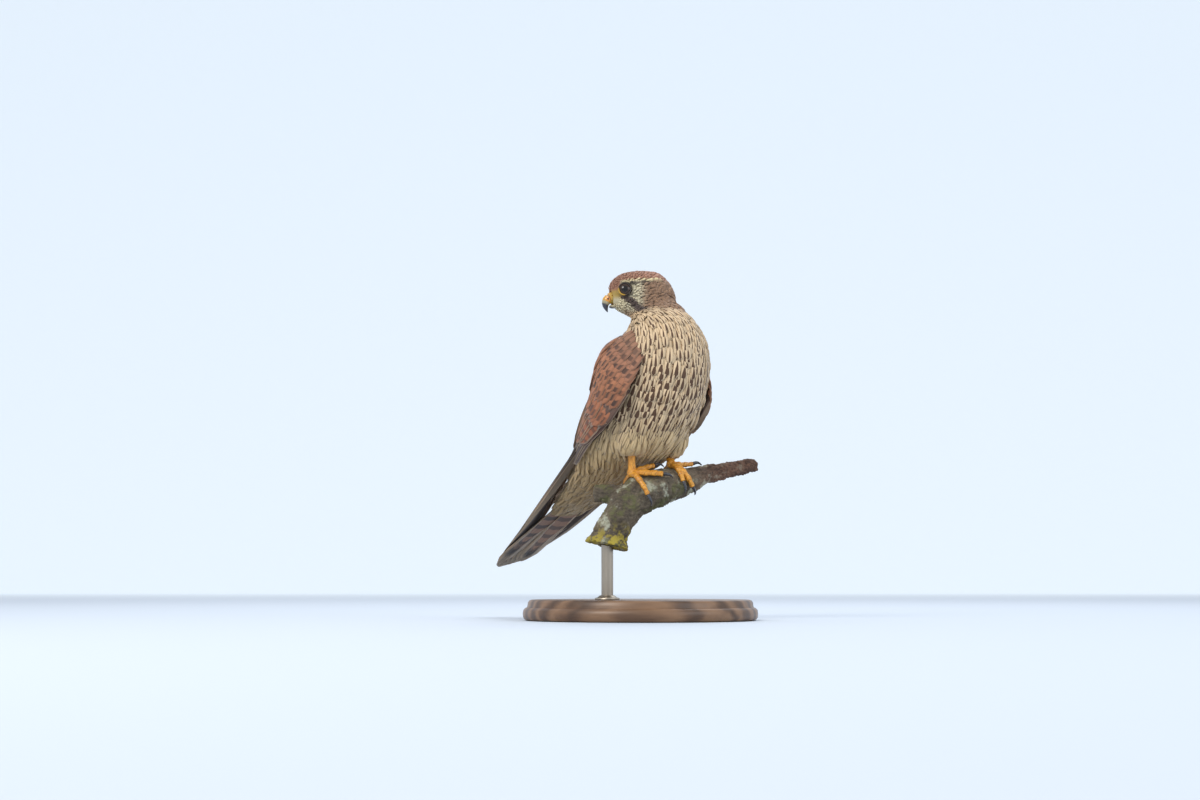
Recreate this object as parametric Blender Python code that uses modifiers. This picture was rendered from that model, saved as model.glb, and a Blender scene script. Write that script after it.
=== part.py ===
"""Common kestrel, life size, gripping a short cut branch on a plain display stand.

Metres, +Z up. The origin is the centre of the stand base's underside. The bird's own
directions are forward (where the breast faces), left and up; the head is turned far
round over the right shoulder. Sizes below are in millimetres and are multiplied by MM.
"""

import math
import random

import bmesh
import bpy
from mathutils import Matrix, Vector, noise

MM = 0.001
GAP = 0.3
COLLECTION = bpy.data.collections.new("common_kestrel")
FEATHER_SOLVER = "MANIFOLD"

# Where the bird stands and which way it faces
HEADING = math.radians(-50.0)
STANCE = Vector((6.0, 0.0, 104.0))
FORWARD = Vector((math.cos(HEADING), math.sin(HEADING), 0.0))
LEFT = Vector((-math.sin(HEADING), math.cos(HEADING), 0.0))
UP = Vector((0.0, 0.0, 1.0))

# Body from the tail coverts to the neck: forward, up, half width, depth of back and of belly
BODY = (
    (-98.0, -30.5, 13.0, 2.6, 2.6),
    (-78.0, -20.5, 17.0, 6.5, 5.5),
    (-59.0, -9.5, 22.5, 11.0, 11.0),
    (-42.0, 3.0, 28.0, 15.5, 15.5),
    (-26.0, 17.0, 32.5, 24.0, 23.0),
    (-8.0, 36.0, 36.0, 32.0, 33.0),
    (4.0, 58.0, 36.5, 34.5, 39.0),
    (12.5, 79.0, 34.0, 33.0, 35.0),
    (11.0, 95.0, 24.5, 25.0, 25.0),
    (4.5, 107.5, 16.0, 16.5, 16.5),
    (0.0, 118.0, 10.5, 10.5, 10.5),
)
BODY_SIDES = 28
TAIL_CUT = 2.55
NECK_CUT = 7.55
ROOM_LAP = 0.15
ROOM_GROWTH = 0.7

# Head, in its own frame with the origin midway between the eyes: ahead, top, bottom, half width
HEAD_CENTRE = Vector((-12.9, -6.0, 124.3))
HEAD_TOWARDS_VIEW = math.radians(12.0)
HEAD = (
    (14.8, 0.2, -11.5, 4.6),
    (13.8, 2.8, -13.4, 6.6),
    (10.8, 6.2, -15.6, 9.2),
    (6.0, 9.4, -18.2, 12.2),
    (0.5, 10.9, -20.6, 14.9),
    (-6.0, 11.7, -22.6, 17.0),
    (-12.5, 11.6, -23.6, 18.0),
    (-18.5, 10.8, -23.6, 17.6),
    (-24.0, 7.0, -22.4, 15.6),
    (-28.6, 1.6, -20.0, 12.0),
    (-31.6, -4.6, -16.0, 6.8),
)
HEAD_SIDES = 22
EYE_RADIUS = 5.4
EYE_PLACE = (5.2, 8.6, -3.7)
LID_RADIUS = 4.35
LID_THICKNESS = 0.85
BROW_SIZE = (8.2, 2.4, 1.9)
BROW_PLACE = (4.0, 11.2, 1.9)
GAPE_SIZE = (5.2, 1.6, 0.35)
GAPE_PLACE = (7.6, 11.0, -11.6)

# Bill: ahead, up, half height, half width along its middle line
CERE = ((9.0, -7.6, 4.4, 5.4), (12.0, -7.9, 4.2, 4.9), (14.4, -8.7, 3.9, 4.3))
UPPER_BILL = (
    (14.7, -8.9, 3.7, 4.0),
    (16.3, -10.3, 3.3, 3.4),
    (17.1, -12.6, 2.5, 2.6),
    (16.8, -15.2, 1.5, 1.5),
    (15.6, -18.0, 0.3, 0.3),
)
LOWER_BILL = (
    (8.5, -13.4, 1.5, 4.3),
    (11.5, -14.0, 1.4, 3.4),
    (13.6, -14.1, 1.1, 2.2),
    (14.4, -13.9, 0.6, 1.2),
)
NOSTRIL_RADIUS = 0.75

# Tail: where its feathers start in the rump, and how far they drop to the rear
TAIL_ROOT = (-24.0, 10.0)
TAIL_SLOPE = math.radians(28.0)
TAIL_ROOM = (
    (24.0, 0.0, 17.0, 5.0),
    (76.0, 0.0, 19.5, 5.0),
    (92.0, 0.0, 21.0, 3.4),
    (168.0, 0.0, 23.5, 3.2),
)

# Vanes: share of the length and share of the half width from root to tip
VANE_THICKNESS = 0.55
LONG_VANE = ((0.0, 0.5), (0.35, 0.97), (0.78, 0.95), (0.94, 0.6), (1.0, 0.14))
SHORT_VANE = ((0.0, 0.6), (0.45, 1.0), (0.82, 0.82), (1.0, 0.22))

# Folded wing: distance from the wrist, then forward, out, up, roof angle, bend radius
WING = (
    (-14.0, 23.0, 22.0, 90.0, 4.0, 28.0),
    (0.0, 15.0, 31.0, 82.0, 9.0, 33.0),
    (24.0, 2.0, 38.5, 67.5, 15.0, 40.0),
    (51.0, -12.5, 36.5, 48.0, 24.0, 40.0),
    (78.0, -33.0, 30.0, 30.0, 35.0, 34.0),
    (107.0, -55.5, 19.5, 12.0, 48.0, 28.0),
    (150.0, -87.0, 13.0, -14.5, 60.0, 34.0),
    (190.0, -116.5, 9.0, -37.5, 70.0, 60.0),
    (236.0, -156.0, 6.5, -59.5, 76.0, 90.0),
)
# Fleshy part of the folded wing: distance from the wrist, middle, half chord, half thickness
WING_ARM = (
    (-13.0, 1.0, 8.0, 1.2),
    (-4.0, -2.5, 14.0, 2.2),
    (14.0, -4.0, 22.0, 2.6),
    (40.0, 1.0, 32.0, 2.6),
    (64.0, 0.0, 27.0, 2.2),
    (82.0, -1.0, 20.0, 1.2),
)
# Rows of wing feathers: count, outline, half width, then for the front and the back feather of
# the row the distance and place across of its root and of its tip, and the rise at root and tip
WING_ROWS = {
    "primaries": (5, LONG_VANE, 6.8, (74.0, -14.0, 228.0, -3.0), (62.0, -2.0, 134.0, 4.0), 0.0, 0.4),
    "secondaries": (5, LONG_VANE, 8.6, (56.0, -19.0, 98.0, -13.0), (50.0, 14.0, 116.0, 5.0), 0.9, 1.9),
    "tertials": (2, LONG_VANE, 8.6, (42.0, 17.0, 118.0, 6.0), (36.0, 26.0, 126.0, 11.0), 1.2, 2.9),
    "primary_coverts": (3, SHORT_VANE, 5.2, (50.0, -26.0, 96.0, -14.0), (50.0, -16.0, 90.0, -9.0), 0.8, 1.9),
    "greater_coverts": (4, SHORT_VANE, 9.0, (38.0, -23.0, 68.0, -19.0), (34.0, 19.0, 74.0, 14.0), 1.3, 3.2),
    "median_coverts": (4, SHORT_VANE, 8.0, (18.0, -20.0, 46.0, -20.0), (20.0, 9.0, 50.0, 12.0), 1.6, 3.7),
    "scapulars": (3, SHORT_VANE, 9.4, (20.0, 8.0, 56.0, 15.0), (30.0, 24.0, 84.0, 22.0), 1.6, 4.3),
}
LONGEST_PRIMARY = 1
TIP_PRIMARY = 236.0
SHINGLE = 0.2
BACK_BEND = 0.72
WING_TUCK = 3.0
TUCK_END = 170.0
MIDLINE_REACH = 300.0

# Tail feathers: pairs, half width, length from the tail's root, spread and drop for each pair
RECTRICES = (5, 9.6, 166.0, 2.1, 0.95)
RECTRIX_ROOT = 34.0
OUTER_SHORTFALL = 4.0
TAIL_COVERTS = (5, 7.2, 30.0, 76.0, 16.0)

# Thigh feathers: forward, out, up, radius
THIGH = (
    (-4.0, 17.0, 36.0, 17.0),
    (-1.5, 17.5, 25.0, 16.0),
    (1.0, 17.5, 15.0, 12.0),
    (1.8, 17.3, 7.5, 6.5),
)
THIGH_SIDES = 16

# Perch, along its middle line: picture right, away, up from the stance, radius
PERCH = (
    (-28.5, -15.0, -54.0, 15.5),
    (-27.0, -14.5, -48.0, 12.5),
    (-21.5, -13.5, -36.5, 11.6),
    (-12.0, -9.0, -23.5, 13.2),
    (3.0, -2.0, -14.6, 13.2),
    (16.0, 6.0, -11.6, 11.6),
    (27.0, 12.0, -8.2, 9.2),
    (38.0, 17.5, -4.4, 7.0),
    (54.0, 24.0, -0.6, 5.9),
    (76.0, 31.0, 3.8, 5.0),
)
PERCH_SIDES = 12
PERCH_RINGS = 25
PERCH_ROUGHNESS = 0.9
SIDE_STUB = ((-14.0, -8.0, -21.0, 8.5), (-26.0, -6.0, -19.0, 7.2), (-37.5, -4.5, -18.0, 6.2))
SEED = 11

# Toes: along the perch at the root and the tip, and degrees round it, 0 on top and + in front
TOES = {
    "right": {
        "hallux": (3.46, 3.30, -34.0, -92.0, 2.1),
        "inner": (3.54, 4.22, 6.0, 6.0, 2.2),
        "middle": (3.52, 4.14, 24.0, 56.0, 2.3),
        "outer": (3.44, 3.34, 20.0, 88.0, 2.1),
    },
    "left": {
        "hallux": (5.20, 5.04, -34.0, -96.0, 2.1),
        "inner": (5.26, 6.60, 2.0, 2.0, 2.1),
        "middle": (5.22, 5.68, 26.0, 108.0, 2.3),
        "outer": (5.16, 5.10, 26.0, 84.0, 2.1),
    },
}
FOOT_MARK = {"right": 3.48, "left": 5.2}
TARSUS_TOP = {"right": (2.0, -17.3, 9.5), "left": (2.0, 17.3, 10.5)}
TARSUS_RADIUS = 2.7
CLAW_LENGTH = 9.5
CLAW_RADIUS = 1.35
CLAW_POINT = 0.12
CLAW_RISE = 0.25
CLAW_COLLAR = 0.5
CLAW_BEND = 1.15
CLAW_ARCH = 0.9
CLAW_DROP = 0.72

# Stand
BASE_RADIUS = 80.0
BASE_HEIGHT = 14.0
ROD_RADIUS = 4.0


def rows_at(rows, key):
    """A smooth curve through rows of numbers, read at a row count."""
    last = len(rows) - 1
    key = min(max(key, 0.0), float(last))
    i = min(int(key), last - 1)
    k = key - i
    four = (rows[max(i - 1, 0)], rows[i], rows[i + 1], rows[min(i + 2, last)])
    values = []
    for a, b, c, d in zip(*four):
        values.append(0.5 * (2 * b + (c - a) * k + (2 * a - 5 * b + 4 * c - d) * k * k
                             + (3 * b - a - 3 * c + d) * k ** 3))
    return values


def row_of(rows, distance):
    """The row count at which the first column reaches a distance."""
    for i in range(len(rows) - 1):
        low, high = rows[i][0], rows[i + 1][0]
        if distance <= high or i == len(rows) - 2:
            return i + (distance - low) / (high - low)
    return 0.0


def bird(forward, left, up):
    """A place given in the bird's own directions, measured from the stance."""
    return STANCE + FORWARD * forward + LEFT * left + UP * up




def solid(name, mesh, material=None):
    """An object in the kestrel's collection from a bmesh in millimetres."""
    bmesh.ops.scale(mesh, vec=(MM, MM, MM), verts=mesh.verts)
    bmesh.ops.recalc_face_normals(mesh, faces=mesh.faces)
    data = bpy.data.meshes.new(name)
    mesh.to_mesh(data)
    mesh.free()
    thing = bpy.data.objects.new(name, data)
    COLLECTION.objects.link(thing)
    if material:
        data.materials.append(material)
    return thing


def loft(name, rings, material=None):
    """A closed skin through rings of equal count, with a flat cap at each end."""
    mesh = bmesh.new()
    loops = [[mesh.verts.new(point) for point in ring] for ring in rings]
    for low, high in zip(loops, loops[1:]):
        for j in range(len(low)):
            k = (j + 1) % len(low)
            mesh.faces.new((low[j], low[k], high[k], high[j]))
    mesh.faces.new(loops[0])
    mesh.faces.new(loops[-1])
    return solid(name, mesh, material)


def apply(thing, modifier):
    """Applies one modifier."""
    bpy.context.view_layer.objects.active = thing
    with bpy.context.temp_override(object=thing, active_object=thing):
        bpy.ops.object.modifier_apply(modifier=modifier.name)


def keep_largest(thing):
    """Keeps the largest closed surface of a mesh."""
    mesh = bmesh.new()
    mesh.from_mesh(thing.data)
    left = set(mesh.faces)
    groups = []
    while left:
        front = [left.pop()]
        group = list(front)
        while front:
            face = front.pop()
            for edge in face.edges:
                for other in edge.link_faces:
                    if other in left:
                        left.remove(other)
                        front.append(other)
                        group.append(other)
        groups.append(group)
    groups.sort(key=lambda group: sum(face.calc_area() for face in group))
    scraps = [face for group in groups[:-1] for face in group]
    bmesh.ops.delete(mesh, geom=scraps, context="FACES")
    mesh.to_mesh(thing.data)
    mesh.free()


def drop(things):
    """Removes helper objects."""
    for thing in things:
        bpy.data.objects.remove(thing)


def join(thing, pieces, solver="EXACT"):
    """Joins a piece with others by one Boolean union."""
    group = bpy.data.collections.new(thing.name + "_pieces")
    for piece in pieces:
        group.objects.link(piece)
    union = thing.modifiers.new("union", "BOOLEAN")
    union.operation = "UNION"
    union.operand_type = "COLLECTION"
    union.collection = group
    union.solver = solver
    apply(thing, union)
    drop(pieces)
    bpy.data.collections.remove(group)
    keep_largest(thing)


def cut(thing, cutters, solver="EXACT"):
    """Cuts a piece clear of others, which are removed afterwards."""
    for cutter in cutters:
        difference = thing.modifiers.new("clear", "BOOLEAN")
        difference.operation = "DIFFERENCE"
        difference.object = cutter
        difference.solver = solver
        apply(thing, difference)
    drop(cutters)
    keep_largest(thing)


def paint(name, colour, roughness, metallic=0.0):
    """A Principled material."""
    material = bpy.data.materials.new(name)
    material.use_nodes = True
    shader = material.node_tree.nodes["Principled BSDF"]
    shader.inputs["Base Color"].default_value = (*colour, 1.0)
    shader.inputs["Roughness"].default_value = roughness
    shader.inputs["Metallic"].default_value = metallic
    material.diffuse_color = (*colour, 1.0)
    return material


# Body


def body_frame(key):
    """Middle, belly direction, tangent and sizes of the body at a row count."""
    forward, up, width, back_depth, belly_depth = rows_at(BODY, key)
    ahead = rows_at(BODY, key + 0.02)
    behind = rows_at(BODY, key - 0.02)
    tangent = FORWARD * (ahead[0] - behind[0]) + UP * (ahead[1] - behind[1])
    tangent.normalize()
    belly = LEFT.cross(tangent)
    belly.normalize()
    return bird(forward, 0.0, up), belly, tangent, (width, back_depth, belly_depth)


def body_ring(key, grow=0.0, shift=0.0):
    """One section of the body, square to its middle line."""
    middle, belly, tangent, (width, back_depth, belly_depth) = body_frame(key)
    ring = []
    for j in range(BODY_SIDES):
        turn = 2.0 * math.pi * j / BODY_SIDES
        depth = back_depth if math.cos(turn) > 0.0 else belly_depth
        out = LEFT * math.sin(turn) * (width + grow) - belly * math.cos(turn) * (depth + grow)
        ring.append(middle + out + tangent * shift)
    return ring


def body_piece(name, start, end, rings, grow=0.0, material=None):
    """A length of the body between two row counts."""
    sections = []
    for i in range(rings):
        key = start + (end - start) * i / (rings - 1)
        shift = 0.0
        if i == 0:
            shift = GAP / 2.0 - grow
        if i == rings - 1:
            shift = -GAP / 2.0 + grow
        sections.append(body_ring(key, grow, shift))
    return loft(name, sections, material)


def make_torso(material):
    """Breast, belly and back, cut flat where the neck and the tail meet it."""
    return body_piece("torso", TAIL_CUT, NECK_CUT, 17, 0.0, material)


def thigh(name, side, grow=0.0, material=None):
    """Loose feathered trousers from the belly down to the bare leg."""
    rings = []
    for i in range(8):
        forward, out, up, radius = rows_at(THIGH, i * (len(THIGH) - 1) / 7.0)
        ring = []
        for j in range(THIGH_SIDES):
            turn = 2.0 * math.pi * j / THIGH_SIDES
            reach = radius + grow
            ring.append(bird(forward + reach * math.cos(turn), side * out + reach * math.sin(turn),
                             up - (grow if i == 7 else 0.0)))
        rings.append(ring)
    return loft(name, rings, material)


# Head

HEAD_AHEAD = Vector((-math.cos(HEAD_TOWARDS_VIEW), -math.sin(HEAD_TOWARDS_VIEW), 0.0))
HEAD_LEFT = UP.cross(HEAD_AHEAD)


def head_at(ahead, left, up):
    """A place in the head's frame."""
    centre = STANCE + HEAD_CENTRE
    return centre + HEAD_AHEAD * ahead + HEAD_LEFT * left + UP * up


def head_ring(key, grow=0.0, shift=0.0):
    """A section of the head: a flat crown over full cheeks."""
    ahead, top, bottom, width = rows_at(HEAD, key)
    middle = bottom + 0.56 * (top - bottom)
    ring = []
    for j in range(HEAD_SIDES):
        turn = 2.0 * math.pi * j / HEAD_SIDES
        side, rise = math.sin(turn), math.cos(turn)
        reach = (top - middle) if rise > 0.0 else (middle - bottom)
        side = math.copysign(abs(side) ** 0.88, side)
        rise = math.copysign(abs(rise) ** 0.92, rise)
        across = (width + grow) * side
        ring.append(head_at(ahead + shift, across, middle + (reach + grow) * rise))
    return ring


def skull(name, grow=0.0, material=None):
    """The feathered head without its bill."""
    count = 16
    rings = []
    for i in range(count):
        key = (len(HEAD) - 1) * i / (count - 1)
        shift = grow if i == 0 else (-grow if i == count - 1 else 0.0)
        rings.append(head_ring(key, grow, shift))
    return loft(name, rings, material)


def ball(name, centre, radius, segments, material=None):
    """A ball of the given radius in millimetres."""
    mesh = bmesh.new()
    bmesh.ops.create_uvsphere(mesh, u_segments=segments, v_segments=segments // 2, radius=radius)
    bmesh.ops.translate(mesh, vec=centre, verts=mesh.verts)
    return solid(name, mesh, material)


def oval(name, side, size, place, degrees):
    """An oval on one side of the head, turned about the head's upright."""
    mesh = bmesh.new()
    bmesh.ops.create_uvsphere(mesh, u_segments=10, v_segments=5, radius=1.0)
    bmesh.ops.scale(mesh, vec=size, verts=mesh.verts)
    bmesh.ops.rotate(mesh, matrix=Matrix.Rotation(math.radians(degrees), 3, "Z"), verts=mesh.verts)
    for vertex in mesh.verts:
        spot = vertex.co
        vertex.co = head_at(place[0] + spot.x, side * (place[1] + spot.y), place[2] + spot.z)
    return solid(name, mesh)


def ring_bar(name, centre, axis, radius, thickness, around, across):
    """A ring of round section about an axis."""
    turn = axis.to_track_quat("Z", "Y").to_matrix()
    mesh = bmesh.new()
    loops = []
    for i in range(around):
        a = 2.0 * math.pi * i / around
        loop = []
        for j in range(across):
            b = 2.0 * math.pi * j / across
            reach = radius + thickness * math.cos(b)
            point = Vector((reach * math.cos(a), reach * math.sin(a), thickness * math.sin(b)))
            loop.append(mesh.verts.new(centre + turn @ point))
        loops.append(loop)
    for i in range(around):
        for j in range(across):
            k, m = (i + 1) % around, (j + 1) % across
            mesh.faces.new((loops[i][j], loops[k][j], loops[k][m], loops[i][m]))
    return solid(name, mesh)


def bill_ring(row, before, after, sides, grow=0.0):
    """A section of the bill, square to its middle line in the head's own plane."""
    tangent = Vector((after[0] - before[0], after[1] - before[1]))
    tangent.normalize()
    rise = Vector((-tangent.y, tangent.x))
    ring = []
    for j in range(sides):
        turn = 2.0 * math.pi * j / sides
        height = (row[2] + grow) * math.cos(turn)
        width = (row[3] + grow) * math.sin(turn)
        ring.append(head_at(row[0] + rise.x * height, width, row[1] + rise.y * height))
    return ring


def bill_piece(name, rows, rings, sides, grow=0.0, material=None):
    """Cere, upper or lower half of the bill."""
    last = len(rows) - 1
    sections = []
    for i in range(rings):
        key = last * i / (rings - 1)
        near = rows_at(rows, key - 0.05)
        far = rows_at(rows, key + 0.05)
        row = rows_at(rows, key)
        push = grow if i == rings - 1 else (-grow if i == 0 else 0.0)
        along = Vector((far[0] - near[0], far[1] - near[1])).normalized() * push
        row[0] += along.x
        row[1] += along.y
        sections.append(bill_ring(row, near, far, sides, grow))
    return loft(name, sections, material)


def eye_centre(side):
    """Middle of an eyeball, sunk so that only its front shows between the lids."""
    return head_at(EYE_PLACE[0], side * EYE_PLACE[1], EYE_PLACE[2])


def make_head(feathers, skin, horn, eye):
    """Head, cere, the two halves of the bill and both eyes."""
    head = skull("head", 0.0, feathers)
    additions = []
    for side in (-1, 1):
        axis = HEAD_AHEAD * 0.30 + HEAD_LEFT * side + UP * 0.05
        axis.normalize()
        lid = eye_centre(side) + axis * (EYE_RADIUS - 1.35)
        additions.append(ring_bar("lid", lid, axis, LID_RADIUS, LID_THICKNESS, 14, 4))
        additions.append(oval("brow", side, BROW_SIZE, BROW_PLACE, -6.0))
    join(head, additions)
    cutters = [bill_piece("cere_room", CERE, 5, 16, GAP)]
    cutters.append(bill_piece("lower_room", LOWER_BILL, 6, 16, GAP))
    cutters.append(bill_piece("upper_room", UPPER_BILL, 9, 16, GAP))
    for side in (-1, 1):
        cutters.append(ball("socket", eye_centre(side), EYE_RADIUS + GAP, 16))
        cutters.append(oval("gape", side, GAPE_SIZE, GAPE_PLACE, -34.0))
    cut(head, cutters, "MANIFOLD")
    cere = bill_piece("cere", CERE, 5, 16, 0.0, skin)
    nostrils = []
    for side in (-1, 1):
        nostrils.append(ball("nostril", head_at(13.0, side * 4.5, -7.0), NOSTRIL_RADIUS, 10))
    cut(cere, nostrils)
    upper = bill_piece("bill_upper", UPPER_BILL, 9, 16, 0.0, horn)
    lower = bill_piece("bill_lower", LOWER_BILL, 6, 16, 0.0, horn)
    cut(upper, [bill_piece("cere_room", CERE, 5, 16, GAP)])
    cut(lower, [bill_piece("upper_room", UPPER_BILL, 9, 16, GAP),
                bill_piece("cere_room", CERE, 5, 16, GAP)])
    for side, word in ((-1, "right"), (1, "left")):
        ball("eye_" + word, eye_centre(side), EYE_RADIUS, 14, eye)
    return head


def make_neck(material):
    """Neck from the shoulders up into the hollow under the head."""
    neck = body_piece("neck", NECK_CUT, len(BODY) - 1.0, 7, 0.0, material)
    cut(neck, [skull("head_room", GAP)])
    return neck


# Wings and tail


def wing_at(side, distance, across, height):
    """A place on the folded wing: along it, across towards the back, and outwards."""
    key = row_of(WING, distance)
    row = rows_at(WING, key)
    ahead = rows_at(WING, key + 0.05)
    behind = rows_at(WING, key - 0.05)
    tuck = WING_TUCK * max(0.0, 1.0 - distance / TUCK_END) if side > 0 else 0.0
    middle = bird(row[1], side * (row[2] - tuck), row[3])
    tangent = bird(ahead[1], side * ahead[2], ahead[3]) - bird(behind[1], side * behind[2], behind[3])
    tangent.normalize()
    dorsal = LEFT.cross(tangent).normalized()
    roof = math.radians(row[4])
    outward = LEFT * side * math.cos(roof) + dorsal * math.sin(roof)
    outward = (outward - tangent * outward.dot(tangent)).normalized()
    chord = (dorsal - outward * dorsal.dot(outward))
    chord = (chord - tangent * chord.dot(tangent)).normalized()
    radius = row[5] * (BACK_BEND if across > 0.0 else 1.0)
    turn = across / radius
    return middle + chord * (radius + height) * math.sin(turn) + outward * (
        (radius + height) * math.cos(turn) - radius)


def tail_at(distance, across, height):
    """A place on the tail: along it from its root, to the left, and towards its upper side."""
    along = Vector((-math.cos(TAIL_SLOPE), -math.sin(TAIL_SLOPE)))
    rise = Vector((-along.y * -1.0, -along.x))
    forward = TAIL_ROOT[0] + along.x * distance + rise.x * height
    up = TAIL_ROOT[1] + along.y * distance + rise.y * height
    return bird(forward, across, up)


def slab(name, sheet, rows, rings, sides, material=None):
    """A long flat form of rounded section laid on a sheet."""
    sections = []
    for i in range(rings):
        distance, middle, chord, thickness = rows_at(rows, (len(rows) - 1) * i / (rings - 1))
        ring = []
        for j in range(sides):
            turn = 2.0 * math.pi * (j + 0.5) / sides
            rise = math.copysign(abs(math.sin(turn)) ** 0.6, math.sin(turn))
            ring.append(sheet(distance, middle + chord * math.cos(turn), thickness * rise))
        sections.append(ring)
    return loft(name, sections, material)


def vane(sheet, outline, root, tip, half_width, rise, tilt):
    """A thin feather blade on a sheet, with triangles alike on its two faces."""
    mesh = bmesh.new()
    loops = []
    for share, width in outline:
        distance = root[0] + (tip[0] - root[0]) * share
        across = root[1] + (tip[1] - root[1]) * share
        height = rise[0] + (rise[1] - rise[0]) * min(1.0, share / 0.45)
        half = half_width * width
        loop = []
        for side, level in ((-1, -1), (1, -1), (1, 1), (-1, 1)):
            lift = height - tilt * side * half + level * VANE_THICKNESS / 2.0
            loop.append(mesh.verts.new(sheet(distance, across + side * half, lift)))
        loops.append(loop)
    for low, high in zip(loops, loops[1:]):
        for j in range(4):
            k = (j + 1) % 4
            if j == 2:
                mesh.faces.new((low[j], low[k], high[j]))
                mesh.faces.new((low[k], high[k], high[j]))
            else:
                mesh.faces.new((low[j], low[k], high[k]))
                mesh.faces.new((low[j], high[k], high[j]))
    mesh.faces.new(loops[0])
    mesh.faces.new(loops[-1])
    bmesh.ops.triangulate(mesh, faces=[face for face in mesh.faces if len(face.verts) == 4])
    return solid("vane", mesh)


def wing_vanes(sheet, chance):
    """Every row of flight feathers and coverts on one wing."""
    vanes = []
    for row, (count, outline, width, front, back, sunk, rise) in WING_ROWS.items():
        for i in range(count):
            k = i / (count - 1)
            place = [a + (b - a) * k for a, b in zip(front, back)]
            if row == "primaries":
                short = max(0.0, abs(i - LONGEST_PRIMARY) - 1.0) / (count - 1 - LONGEST_PRIMARY)
                place[2] = TIP_PRIMARY + (back[2] - TIP_PRIMARY) * short
                if i < LONGEST_PRIMARY:
                    place[2] = front[2] + (TIP_PRIMARY - front[2]) * i / LONGEST_PRIMARY
            sway = chance.uniform(-0.5, 0.5)
            size = width * chance.uniform(0.95, 1.05)
            lift = rise + chance.uniform(-0.1, 0.1)
            root = (place[0], place[1])
            tip = (place[2] + 2.0 * sway, place[3] + sway)
            vanes.append(vane(sheet, outline, root, tip, size, (sunk, lift), SHINGLE))
    return vanes


def tail_vanes(chance):
    """Twelve tail feathers, the middle pair on top, and the coverts over and under them."""
    pairs, width, length, spread, drop = RECTRICES
    vanes = []
    for i in range(pairs):
        for side in (-1, 1):
            rise = 2.0 - drop * (i + (0.5 if side > 0 else 0.0))
            reach = length - OUTER_SHORTFALL * i + chance.uniform(-0.6, 0.6)
            root = (RECTRIX_ROOT, side * 0.8 * i)
            tip = (reach, side * (0.8 + spread * i))
            size = width - 0.3 * i
            vanes.append(vane(tail_at, LONG_VANE, root, tip, size, (rise * 0.6, rise), 0.03 * side))
    count, width, start, end, half_span = TAIL_COVERTS
    for face in (-1, 1):
        for i in range(count):
            k = 2.0 * i / (count - 1) - 1.0
            reach = end - 8.0 * k * k + chance.uniform(-1.0, 1.0)
            root = (start, 0.5 * half_span * k)
            tip = (reach, 0.75 * half_span * k)
            rise = (face * 3.0, face * (3.9 - 0.7 * k * k))
            vanes.append(vane(tail_at, SHORT_VANE, root, tip, width, rise, 0.05 * face * k))
    return vanes


def make_tail(material):
    """Rump, tail coverts and tail feathers."""
    tail = body_piece("tail", 0.0, TAIL_CUT, 8, 0.0, material)
    join(tail, tail_vanes(random.Random(SEED)), FEATHER_SOLVER)
    return tail


def tail_room():
    """The space that the tail takes, with clearance."""
    coverts = body_piece("tail_room", 0.0, TAIL_CUT, 8, GAP)
    return [coverts, slab("blade_room", tail_at, TAIL_ROOM, 6, 10)]


def torso_room():
    """The space that the torso takes, with clearance."""
    return body_piece("torso_room", TAIL_CUT, NECK_CUT + ROOM_LAP, 17, ROOM_GROWTH)


def neck_room():
    """The space that the neck takes, with clearance."""
    return body_piece("neck_room", NECK_CUT - ROOM_LAP, len(BODY) - 1.0, 7, ROOM_GROWTH)


def far_side(side):
    """The space beyond the midline of the back, with clearance."""
    corners = ((-MIDLINE_REACH, -MIDLINE_REACH), (MIDLINE_REACH, -MIDLINE_REACH),
               (MIDLINE_REACH, MIDLINE_REACH), (-MIDLINE_REACH, MIDLINE_REACH))
    rings = []
    for out in (GAP, -MIDLINE_REACH):
        rings.append([bird(forward, side * out, up) for forward, up in corners])
    return loft("far_side", rings)


def make_wing(word, side, material):
    """One folded wing, laid along the flank and over the edge of the tail."""
    def sheet(distance, across, height):
        return wing_at(side, distance, across, height)
    wing = slab("wing_" + word, sheet, WING_ARM, 11, 14, material)
    join(wing, wing_vanes(sheet, random.Random(SEED + side)), FEATHER_SOLVER)
    rooms = [torso_room(), neck_room(), thigh("thigh_room", side, GAP)] + tail_room()
    cut(wing, rooms + [far_side(side)], FEATHER_SOLVER)
    return wing


# Legs and perch


def perch_frame(key):
    """Middle, tangent, top and front directions and radius of the perch."""
    right, away, up, radius = rows_at(PERCH, key)
    ahead = Vector(rows_at(PERCH, key + 0.03)[:3])
    behind = Vector(rows_at(PERCH, key - 0.03)[:3])
    tangent = (ahead - behind).normalized()
    top = Vector((-0.25, -0.10, 1.0))
    top = (top - tangent * top.dot(tangent)).normalized()
    front = top.cross(tangent).normalized()
    if front.y > 0.0:
        front.negate()
    return STANCE + Vector((right, away, up)), tangent, top, front, radius


def perch_at(key, degrees, clear):
    """A place round the perch: 0 degrees is its top, 90 its front."""
    middle, tangent, top, front, radius = perch_frame(key)
    turn = math.radians(degrees)
    return middle + (top * math.cos(turn) + front * math.sin(turn)) * (radius + clear)


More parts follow.
